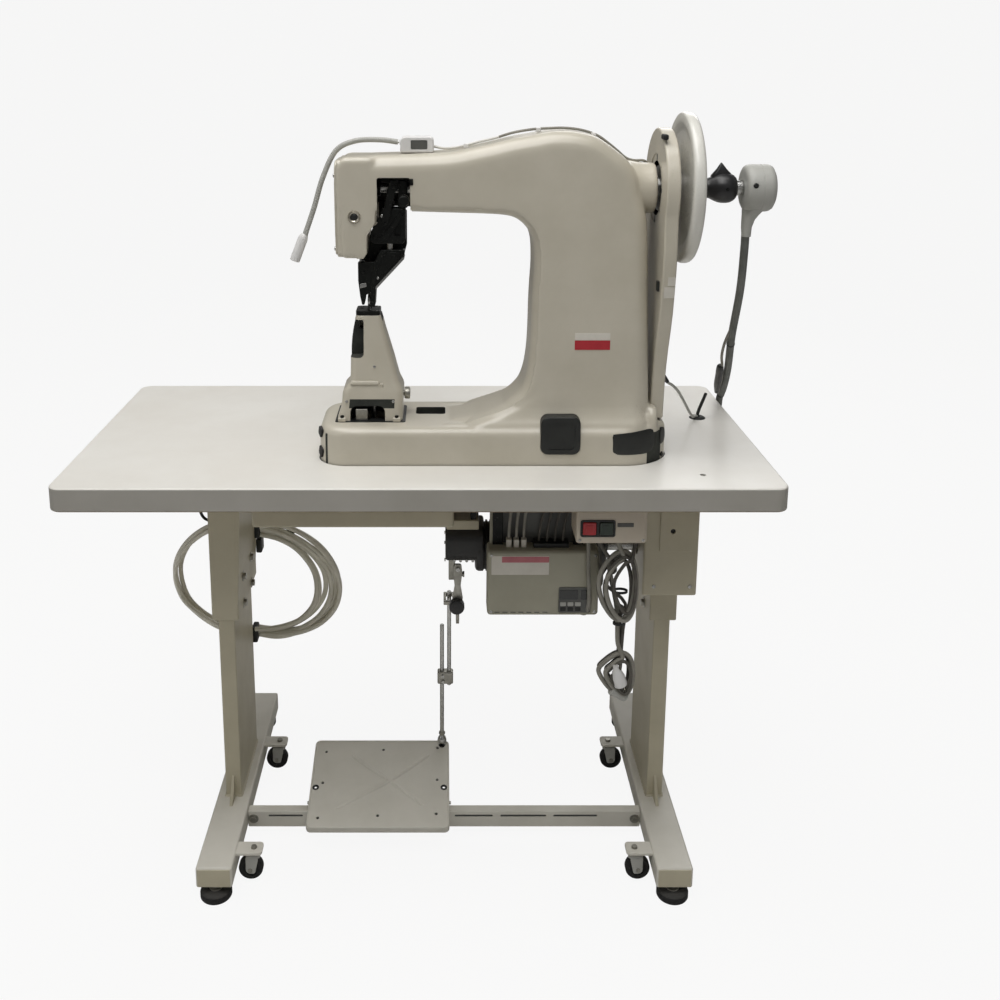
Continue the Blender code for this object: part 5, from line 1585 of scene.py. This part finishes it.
def stand_column(leg, inward):
    on_left = inward > 0
    sleeve = soften(box(leg - 25, leg + 25, -88, 112, 438, 736), 3.2, 4)
    x0, y0 = (leg - 38, -235) if on_left else (leg - 25, -88)
    join(sleeve, soften(box(x0, leg + 38, y0, 235, 733, BUTT_Z), 1.2, 2))
    cut(sleeve, box(leg - 15.5, leg + 15.5, -80.5, 102.5, 400, 728))
    bits = [paint(sleeve, STAND)]
    gusset = [(leg + inward * out, z)
              for out, z in ((23, 733.4), (41, 733.4), (36, 690), (24.6, 470), (23, 470))]
    for y in (-88, 106):
        bits.append(soft_prism(STAND, gusset, "y", y, y + 6, 0.9))
    bits += screws([(leg + inward * 25, y, z) for z in (446, 500) for y in (-30, 54)],
                   (inward, 0, 0), 7.0, 5.0, "hex", ZINC, washer=10)
    screw_xs = (leg + 32, leg - 32) if on_left else (leg + 32,)
    screw_ys = (-215 if on_left else -70, 150, 215)
    bits += screws([(x, y, 733) for y in screw_ys for x in screw_xs], DOWN, 4.2, 2.6, "cross",
                   ZINC)
    for y in (-88, 112):
        bead = [(leg + out, y, z) for out, z in ((-24, 732.4), (-12, 732.0), (0, 732.4),
                                                 (12, 732.0), (24, 732.4))]
        bits.append(paint(tube(bead, 2.4, 10), STAND))
    return merge(*bits)


def levelling_pad(leg, y):
    pad = spun(RUBBER, [(0, 0), (25.4, 0), (27, 0.7), (28, 2.4), (28, 10.6), (27.3, 12.6),
                        (25, 14.4), (20, 15.9), (12, 16.4), (0, 16.4)], "z", leg, y)
    collar = spun(ZINC, [(0, 16.2), (11.4, 16.2), (11.8, 16.5), (11.4, 17.4), (0, 17.5)],
                  "z", leg, y, 40)
    thread = [(0, 17)]
    z = 17.4
    while z < 49:
        thread += [(5.7, z), (6.4, z + 0.75)]
        z += 1.5
    thread += [(5.4, 49.6), (0, 50)]
    return merge(pad, collar, spun(ZINC, thread, "z", leg, y, 28))


def caster_fork(x, y):
    bits = [soft_prism(GREY, rounded(x - 12, x + 12, y - 12, y + 14, 4, 5), "z", 49, 54, 1.0)]
    cheek = fillet([(y - 8, 51, 1), (y - 8, 44, 5), (y - 2, 18, 4), (y + 14, 18, 8),
                    (y + 14, 36, 6), (y + 14, 51, 1)], steps=5)
    for x0 in (x - 12, x + 10):
        bits.append(soft_prism(GREY, cheek, "x", x0, x0 + 2, 0.5, 2))
    bits.append(spun(ZINC, [(0, 53.6), (10.8, 53.6), (11.2, 54.2), (11.2, 56), (10, 57.3),
                            (5, 57.3), (5, 66), (4.4, 66.8), (0, 67)], "z", x, y, 40))
    bits.append(paint(rod("x", x - 11, x + 11, y + 6, 25, 3, 24, 0.3), STEEL))
    bits.append(screw((x + 12, y + 6, 25), RIGHT, 4.2, 2.2, "hex", ZINC))
    bits.append(screw((x - 12, y + 6, 25), LEFT, 4.2, 2.2, "hex", ZINC))
    return merge(*bits)


def caster_wheel(x, y):
    # half profile from the bore to the tread: (radius, distance from the middle)
    half = [(3.4, 8), (8.6, 8), (9.2, 7), (13.6, 6.2), (14.4, 8), (19.4, 8), (21.2, 7.2),
            (22, 5.2)]
    profile = [(r, x - out) for r, out in half] + [(r, x + out) for r, out in half[::-1]]
    wheel = spun(RUBBER, profile, "x", y + 6, 25, 56, ring=True)
    return zone(wheel, ZINC, lambda cx, cy, cz, n: math.hypot(cy - (y + 6), cz - 25) < 9.3)


for side, leg, inward in (("left", LEFT_LEG_X, 1), ("right", RIGHT_LEG_X, -1)):
    piece(f"{side}_foot_fine", stand_foot(leg, inward), BASE, f"{side}_foot",
          slot="stand_paint", sharp=42)
    piece(f"{side}_column_fine", stand_column(leg, inward), HEAD, f"{side}_column",
          slot="stand_paint", sharp=42)
    for where, y in PAD_PLACES:
        piece(f"{side}_{where}_pad_fine", levelling_pad(leg, y), f"{side}_{where}_pad",
              f"{side}_{where}_levelling_pad", slot="rubber", sharp=30)
    for where, y in CASTER_PLACES:
        x = leg + inward * CASTER_OUT
        stem = point(x, y, 0)
        swivel = (Matrix.Translation(stem) @ Matrix.Rotation(math.radians(90 * inward), 4, "Z")
                  @ Matrix.Translation(-stem))
        fork = caster_fork(x, y)
        fork.data.transform(swivel)
        piece(f"{side}_{where}_fork_fine", fork, f"{side}_{where}_caster",
              f"{side}_{where}_caster_fork", slot="grey_plastic")
        wheel = caster_wheel(x, y)
        wheel.data.transform(swivel)
        piece(f"{side}_{where}_wheel_fine", wheel, f"{side}_{where}_wheel",
              f"{side}_{where}_caster_wheel", slot="rubber")


def cross_brace():
    x0, x1 = -369.7, 377.7
    channel = soften(box(x0, x1, -115, -96, 24, 58), 2.2)
    cut(channel, box(x0 + 2.6, x1 - 2.6, -112.8, -90, 26.2, 55.8))
    cut(channel, *[prism(rounded(start, end, 45.4, 50.6, 2.5, 6), "y", -120, -105)
                   for start, end in ((-331, -265), (24, 97), (111, 199), (212, 296))])
    # channel in the paler copy of the stand coat: painted light
    bits = [paint(channel, STAND_LIT_COPY),
            soft_box(DARK_GREY, (x0 + 4, x1 - 4, -112.2, -110.8, 43, 53), 0.4, 2)]
    lug = fillet([(-109.5, 50, 0.5), (-100.5, 50, 0.5), (-100.5, 73, 4), (-109.5, 73, 4)])
    for x in (-249, 5):
        bits.append(soft_prism(STAND, lug, "x", x, x + 4, 0.5, 2))
    for x in (-257, 7):
        bits.append(paint(rod("x", x, x + 10, -105, 69, 3, 28, 0.5), ZINC))
    bits += screws([(-359, -114.8, 42), (367, -114.8, 42)], FRONT, 6.4, 4.6, "hex", ZINC,
                   washer=9.4)
    return merge(*bits)


piece("cross_brace_fine", cross_brace(), BASE, "cross_brace", slot="stand_paint", sharp=42)

# ================================================================= treadle
TREADLE_TILT = math.radians(14.9)
# (x, distance up the tread)
TREADLE_HOLES = [(-230.5, 110), (-117, 115), (-9, 119.5), (-231, 36), (-9.5, 43), (-233, -43),
                 (-121, -38), (-11, -34)]


def treadle_rib(end_x, end_u):
    """Raised rib from the middle of the tread, swelling then fading."""
    mid_x, mid_u = -100.7, 40.6
    dx, du = end_x - mid_x, end_u - mid_u
    length = math.hypot(dx, du)
    sections = []
    for t, h in ((0.0, 0.5), (0.06, 0.85), (0.12, 1), (0.5, 1), (0.88, 1), (0.95, 0.8),
                 (1.0, 0.35)):
        section = ((-h * 4.2, 1.6), (-h * 3.0, 1.7 + h * 1.8), (-h * 1.2, 1.7 + h * 3.0),
                   (h * 1.2, 1.7 + h * 3.0), (h * 3.0, 1.7 + h * 1.8), (h * 4.2, 1.6), (0, 1.2))
        sections.append([(mid_x + dx * t - du / length * side, mid_u + du * t + dx / length * side,
                          rise) for side, rise in section])
    # rib in the paler copy of the stand coat: painted light
    return paint(loft(sections), STAND_LIT_COPY)


def pedal():
    tread = soften(prism(rounded(-254, 14, -65, 138, 9), "z", -12.2, 2), 2.6, 4, 60)
    cut(tread, prism(rounded(-252, 12, -63, 136, 7.5), "z", -20, -0.4))
    for x, u in TREADLE_HOLES:
        cut(tread, rod("z", -5, 6, x, u, 3.0, 24))
    for x in (-243.5, 3.5):
        cut(tread, rod("z", -5, 6, x, 25, 5.2, 28))
    # tread and rim in the paler copy of the stand coat: painted light
    bits = [paint(tread, STAND_LIT_COPY)]
    bits += [treadle_rib(*end) for end in ((-24.4, 103), (-34.5, -15), (-200.6, -22),
                                           (-180, 103))]
    # black discs just under the eight small holes: painted shade seen through them
    bits += [paint(rod("z", -3.4, -0.8, x, u, 4.4, 24), BLACK) for x, u in TREADLE_HOLES]
    rim = level(rounded(-252, 12, -63, 136, 8), 1.4) + [(12, 128, 1.4)]
    bits.append(paint(tube(rim, 1.9, 10), STAND_LIT_COPY))
    for x in (-243.5, 3.5):
        bits.append(spun(BLACK, [(2.6, 0.4), (4.9, 0.4), (5.4, 1.6), (6.4, 2.3), (5.6, 2.9),
                                 (2.6, 2.6)], "z", x, 25, 32, ring=True))
    tilted = merge(*bits)
    tilted.data.transform(shift(0, -105, 76.7) @ Matrix.Rotation(TREADLE_TILT, 4, "X"))
    ears = []
    ear_edge = fillet([(-116, 60.4, 4), (-94, 60.4, 4), (-92, 77, 1), (-118, 71, 1)], steps=5)
    for x in (-254, 11):
        ear = soften(prism(ear_edge, "x", x, x + 3), 0.5, 2)
        cut(ear, rod("x", -260, 20, -105, 69, 3.5, 28))
        ears.append(paint(ear, STAND))
    ball_stud = spun(OXIDE, [(0, 106), (7, 106), (7, 111.5), (4.4, 112), (2.3, 112.6),
                             (2.2, 113.4), (2.9, 114.3), (3.4, 116), (2.5, 118.3), (0, 119.4)],
                     "z", 0, ROD_Y, 32)
    return merge(tilted, ball_stud, *ears)


piece("pedal_fine", pedal(), "pedal", "pedal", slot="stand_paint", sharp=42)

lower_rod = spun(STEEL, [
    (0, 120), (2.8, 118.86), (3.7, 117.5), (4, 116), (5.4, 116.3), (7.4, 117.8), (8.8, 120.4),
    (9, 122.4), (8.2, 127), (6.6, 130.4), (4.6, 132.6), (4, 134), (4, 374), (3.4, 375),
    (0, 375)], "z", 0, ROD_Y, 40)
piece("pitman_rod_lower_fine",
      merge(lower_rod, screw((0, ROD_Y, 136), UP, 6.4, 5.4, "hex", ZINC)),
      "rod_lower", "pitman_rod_lower", slot="bright_steel")
rod_clamp = soften(box(-9, 22, 8.8, 26.8, 250, 276), 3.2, 4)
cut(rod_clamp, rod("z", 240, 290, 0, ROD_Y, 4.5, 32), rod("z", 240, 290, 14, ROD_Y, 4.05, 32))
upper_rod = spun(STEEL, [(0, 245), (3.2, 245), (4, 246), (4, 444.6), (3.4, 446), (0, 446)],
                 "z", 14, ROD_Y, 32)
piece("pitman_rod_upper_fine",
      merge(paint(rod_clamp, ZINC), upper_rod,
            *screws([(2, 8.8, 257), (2, 8.8, 269)], FRONT, 3.4, 4.0, "hex")),
      "rod_upper", "pitman_rod_upper", slot="bright_steel")


def treadle_lever():
    edge = arc(MOTOR_Y, LEVER_Z, 11, range(0, 241, 12))
    edge += [(-92, 446), (-83, 431), (-78, 427), (0.8, 425), (0.8, 435), (-69, 440), (-76, 446),
             (-79, 454)]
    lever = soften(prism(edge, "x", 26, 32), 0.9)
    eye = soften(box(3, 31.5, -3.2, 38.8, 426, 434), 1.6)
    cut(eye, prism(rounded(8, 20, 0.3, 35.3, 5.5, 6), "z", 420, 440))
    cut(lever, rod("x", 20, 40, MOTOR_Y, LEVER_Z, 4.5, 32))
    link = fillet([(20, 478, 3), (36, 478, 3), (38, 496, 5), (34, 520, 10), (37, 545, 5),
                   (35, 562, 4), (22, 562, 4), (20, 545, 5), (23, 520, 10), (19, 496, 5)],
                  steps=5)
    grip = lathe([(0, -124), (11, -124), (13.4, -123), (14, -121), (14, -110), (13.4, -108.4),
                  (11, -107.4), (0, -107.4)], "y", 27, 482, 44)
    for k in range(18):
        a = 2 * math.pi * k / 18
        cut(grip, rod("y", -130, -100, 27 + 14.7 * math.cos(a), 482 + 14.7 * math.sin(a),
                      1.5, 12))
    return merge(paint(lever, ZINC), paint(eye, ZINC),
                 soft_prism(ZINC, link, "y", -112, -107, 0.8), paint(grip, PHENOLIC),
                 screw((29, -112, 552), FRONT, 4.6, 3.0, "hex"))


piece("treadle_lever_fine", treadle_lever(), "treadle_lever", "treadle_lever",
      slot="bright_steel")

# ================================================================= hose and cables
# hose lays, hung as lobes: (x, y, z)
LEFT_LOBE = [(-372, 118, 530), (-420, 116, 542), (-468, 116, 538), (-510, 118, 510),
             (-538, 122, 468), (-545, 126, 424), (-532, 130, 372), (-500, 132, 334),
             (-462, 134, 308), (-420, 134, 296), (-384, 130, 296)]
RIGHT_LOBE = [(-384, 128, 300), (-344, 132, 292), (-304, 134, 300), (-262, 134, 326),
              (-236, 132, 362), (-228, 128, 400), (-236, 124, 440), (-262, 120, 478),
              (-300, 118, 508), (-340, 116, 526), (-372, 116, 530)]
INNER_LOBE = [(-376, 128, 524), (-330, 130, 512), (-292, 132, 486), (-262, 132, 444),
              (-252, 130, 404), (-258, 128, 366), (-284, 128, 332), (-316, 128, 314),
              (-352, 126, 306), (-386, 124, 306)]
OUTER_LOBE = [(-372, 112, 536), (-326, 112, 540), (-280, 114, 520), (-240, 116, 484),
              (-214, 118, 436), (-210, 122, 394), (-222, 126, 352), (-252, 128, 318),
              (-292, 130, 298), (-336, 128, 292), (-376, 126, 294)]
LEFT_MIDDLE, RIGHT_MIDDLE = (-400, 420), (-372, 418)
# lobe, middle (x, z), scale, y shift, waver in x, y and z, hose radius
STRANDS = ((LEFT_LOBE, LEFT_MIDDLE, 1.0, 0, (0, 0, 0), 5.2),
           (LEFT_LOBE, LEFT_MIDDLE, 0.955, 9, (2, 0, 3), 4.8),
           (LEFT_LOBE, LEFT_MIDDLE, 0.975, -6, (-2, -2, -3), 4.6),
           (RIGHT_LOBE, RIGHT_MIDDLE, 1.0, 0, (1, 0, 2), 5.2),
           (RIGHT_LOBE, RIGHT_MIDDLE, 0.93, 9, (-2, 1, -2), 5.2),
           (RIGHT_LOBE, RIGHT_MIDDLE, 1.065, 5, (2, -2, 2), 4.8),
           (INNER_LOBE, RIGHT_MIDDLE, 1.0, 0, (2, 2, 2), 5.2),
           (INNER_LOBE, RIGHT_MIDDLE, 0.95, -9, (-2, 0, 2), 4.6),
           (OUTER_LOBE, RIGHT_MIDDLE, 1.0, 0, (0, 0, 2), 5.2),
           (OUTER_LOBE, RIGHT_MIDDLE, 0.965, 12, (2, 1, -2), 5.2))


def strand(lobe, middle, scale, y_shift, waver, radius):
    """One lay of the hose: a lobe resized about its middle and slightly wavered."""
    mid_x, mid_z = middle
    dx, dy, dz = waver
    path = []
    for i, (x, y, z) in enumerate(lobe):
        x = mid_x + (x - mid_x) * scale
        z = mid_z + (z - mid_z) * (1 + (scale - 1) * 0.9)
        path.append((x + dx * math.sin(0.9 * i + dz),
                     y + y_shift + dy + 2 * math.sin(1.3 * i + dx),
                     z + dz * math.cos(0.7 * i + dy)))
    return run(HOSE, path, 6, radius, 12)


def hose_coil():
    bits = [strand(*row) for row in STRANDS]
    for x, y, z in ((-372, 106, 532), (-369, 112, 498)):
        bits.append(soft_box(BLACK, (x - 7, x + 5, y - 3, y + 26, z - 15, z + 15), 3))
    bits.append(soft_box(BLACK, (-392, -380, 112, 142, 283, 316), 3))
    # two hooks from the table
    bits.append(run(BLACK, [(-478, 96, 733), (-482, 98, 700), (-486, 104, 660), (-490, 118, 620),
                            (-492, 132, 574), (-486, 142, 546), (-470, 148, 536),
                            (-458, 146, 546)], 6, 3.0, 12))
    bits.append(run(BLACK, [(-330, 96, 733), (-330, 98, 700), (-328, 104, 640), (-322, 118, 580),
                            (-318, 132, 534), (-308, 140, 514), (-296, 140, 520)], 6, 3.0, 12))
    return merge(*bits)


piece("hose_coil_fine", hose_coil(), HEAD, "hose_coil", slot="grey_cable")


def ring_path(drift, mid_x, mid_z, rx, rz, y, turns, phase, wobble):
    """Loose loops that never repeat exactly, drifting in y once per turn."""
    n = 14
    out = []
    for k in range(int(turns * n) + 1):
        a = phase + 2 * math.pi * k / n
        g = 1 + wobble * math.sin(1.7 * a + phase) + wobble * 0.6 * math.sin(0.61 * a
                                                                             + 2.2 * phase)
        out.append((mid_x + rx * g * math.cos(a) + 6 * math.sin(0.5 * a),
                    y + drift * k / n + 4 * math.sin(0.9 * a),
                    mid_z + rz * g * math.sin(a) + 9 * math.sin(2 * a + 0.3)))
    return out


# material, radius, start x, upper loops, drop between, lower loops;
# loops are (middle x, middle z, x radius, z radius, y, turns, phase, wobble)
BUNDLE = (
    (CABLE, 4.1, 300, (302, 578, 29, 58, -236, 2.2, 1.5, 0.05),
     [(300, -214, 540), (304, -213, 500), (306, -214, 462)],
     (306, 408, 27, 33, -224, 1.9, 1.4, 0.05)),
    (DARK_CABLE, 3.4, 270, (298, 570, 25, 50, -226, 1.6, 1.9, 0.05),
     [(308, -210, 528), (310, -208, 480), (308, -210, 440)],
     (304, 410, 23, 28, -214, 1.4, 1.3, 0.06)),
    (DARK_CABLE, 3.0, 326, (307, 583, 22, 46, -244, 1.4, 1.1, 0.05),
     [(316, -216, 538), (314, -214, 488), (312, -216, 448)],
     (308, 405, 19, 24, -232, 1.2, 1.8, 0.06)))


def cable_bundle():
    bits = []
    for mat, radius, x, upper, drop, lower in BUNDLE:
        path = [(x, -226, 662), (x, -228, 650)] + ring_path(7, *upper) + drop
        bits.append(run(mat, path + ring_path(6, *lower), 4, radius, 12))
    sleeve = spun(GREY, [(3, 0), (9.4, 0), (10, 1), (10, 30), (9.4, 31), (3, 31)],
                  "z", 0, 0, 28, ring=True)
    bits.append(turn_to(sleeve, (296, -220, 378), (0.75, 0.1, -0.45)))
    # plug with two pins
    plug_at, plug_aim = (311, -229, 391), (-0.28, 0.05, 0.96)
    body = spun(LAMP_WHITE, [(0, -2), (9, -2), (11.4, 0), (12, 3), (11.6, 16), (8.4, 27),
                             (5, 31), (4.4, 38), (0, 38)], "z", 0, 0, 36)
    bits.append(turn_to(body, plug_at, plug_aim))
    for x in (-4.5, 4.5):
        pin = paint(rod("z", -10, 0, x, 0, 1.5, 12), BRASS)
        bits.append(turn_to(pin, plug_at, plug_aim))
    for z, r in ((560, 13), (500, 11)):
        tie = spun(BLACK, [(r - 1.6, -2.4), (r, -2), (r, 2), (r - 1.6, 2.4)],
                   "z", 0, 0, 32, ring=True)
        tie.data.transform(Matrix.Translation(point(307, -213, z))
                           @ Matrix.Scale(0.72, 4, (0, 1, 0))
                           @ Matrix.Translation(-point(0, 0, 0)))
        bits.append(tie)
    return merge(*bits)


piece("cable_bundle_fine", cable_bundle(), HEAD, "cable_bundle", slot="grey_cable")

# ================================================================= stage
# floor that curves up into a wall, in metres: (radius, height)
FLOOR_PROFILE = ((0.0, 0.0), (2.0, 0.0), (4.0, 0.0), (6.0, 0.0), (7.0, 0.15), (7.8, 0.5),
                 (8.4, 1.1), (8.8, 1.9), (9.0, 3.0), (9.0, 5.5))
FLOOR_DROP = 0.0002                 # keeps the floor just under the feet


def studio_floor():
    bm = bmesh.new()
    segs = 96
    turns = [2 * math.pi * k / segs for k in range(segs)]
    rows = []
    for r, z in FLOOR_PROFILE:
        if r == 0:
            rows.append([bm.verts.new((0, 0, -FLOOR_DROP))])
        else:
            rows.append([bm.verts.new((r * math.cos(a), r * math.sin(a), z - FLOOR_DROP))
                         for a in turns])
    for p, q in zip(rows, rows[1:]):
        for k in range(segs):
            j = (k + 1) % segs
            bm.faces.new([p[0], q[k], q[j]] if len(p) == 1 else [p[k], q[k], q[j], p[j]])
    return from_bmesh(bm, "floor")


def floor_paper():
    """Matt paper that the camera sees as nearly pure glow."""
    mat = surface("studio_floor_paper", (214, 213, 211), (208, 207, 205), rough=(0.75, 0.85),
                  patch=1.5, grain=200, bump=0.02, specular=0.1)
    tree = mat.node_tree
    shader = tree.nodes["Principled BSDF"].outputs["BSDF"]
    glow = add_node(tree, "Emission", {"Color": (0.98, 0.98, 0.978, 1), "Strength": 1.0})
    ray = add_node(tree, "LightPath", {})
    amount = add_node(tree, "Math", {0: ray.outputs["Is Camera Ray"], 1: 0.93},
                      operation="MULTIPLY")
    lift = add_node(tree, "MixShader", {0: amount.outputs[0], 1: shader, 2: glow.outputs[0]})
    tree.links.new(lift.outputs[0], tree.nodes["Material Output"].inputs["Surface"])
    return mat


floor = studio_floor()
floor.name = "studio_floor"
floor.data.shade_smooth()
paint(floor, floor_paper())

world = bpy.data.worlds.new("studio")
bpy.context.scene.world = world
world.use_nodes = True
background = world.node_tree.nodes["Background"]
background.inputs["Color"].default_value = (1.0, 0.995, 0.985, 1)
background.inputs["Strength"].default_value = 0.2


def area(name, location, target, size, power, colour=(1, 1, 1)):
    """Rectangular light, in metres and watts, aimed at the target."""
    light = bpy.data.lights.new(name, "AREA")
    light.shape = "RECTANGLE"
    light.size, light.size_y = size
    light.energy = power
    light.color = colour
    ob = bpy.data.objects.new(name, light)
    bpy.context.scene.collection.objects.link(ob)
    ob.location = location
    aim = Vector(target) - Vector(location)
    ob.rotation_euler = aim.to_track_quat("-Z", "Y").to_euler()


area("overhead_softbox", location=(-0.5, -0.5, 4.2), target=(0.0, 0.0, 0.8), size=(3.2, 2.6),
     power=102, colour=(1.0, 0.99, 0.975))
area("left_window", location=(-3.2, -2.2, 2.4), target=(0.0, 0.0, 0.9), size=(1.8, 2.4),
     power=9, colour=(0.97, 0.985, 1.0))
area("front_fill", location=(1.6, -4.2, 2.0), target=(0.0, 0.0, 0.8), size=(2.6, 2.0), power=3.5)
area("low_front_top", location=(0.0, -1.95, 3.3), target=(0.0, -0.15, 0.1), size=(2.0, 0.9),
     power=18, colour=(1.0, 0.995, 0.985))
area("back_kick", location=(1.2, 3.4, 2.8), target=(0.0, 0.0, 0.9), size=(2.4, 1.6), power=24)

camera = bpy.data.cameras.new("photo_camera")
camera.sensor_width = 36.0
camera.lens = 39.78
camera.shift_x = 0.058
camera.shift_y = -0.192125
camera.clip_end = 40
camera_ob = bpy.data.objects.new("photo_camera", camera)
scene = bpy.context.scene
scene.collection.objects.link(camera_ob)
camera_ob.location = (STAND_X * MM, -1.9737, 1.4328)
camera_ob.rotation_euler = (math.radians(78), 0, 0)
scene.camera = camera_ob
scene.view_settings.view_transform = "Standard"
scene.view_settings.look = "None"
scene.view_settings.exposure = 0.0
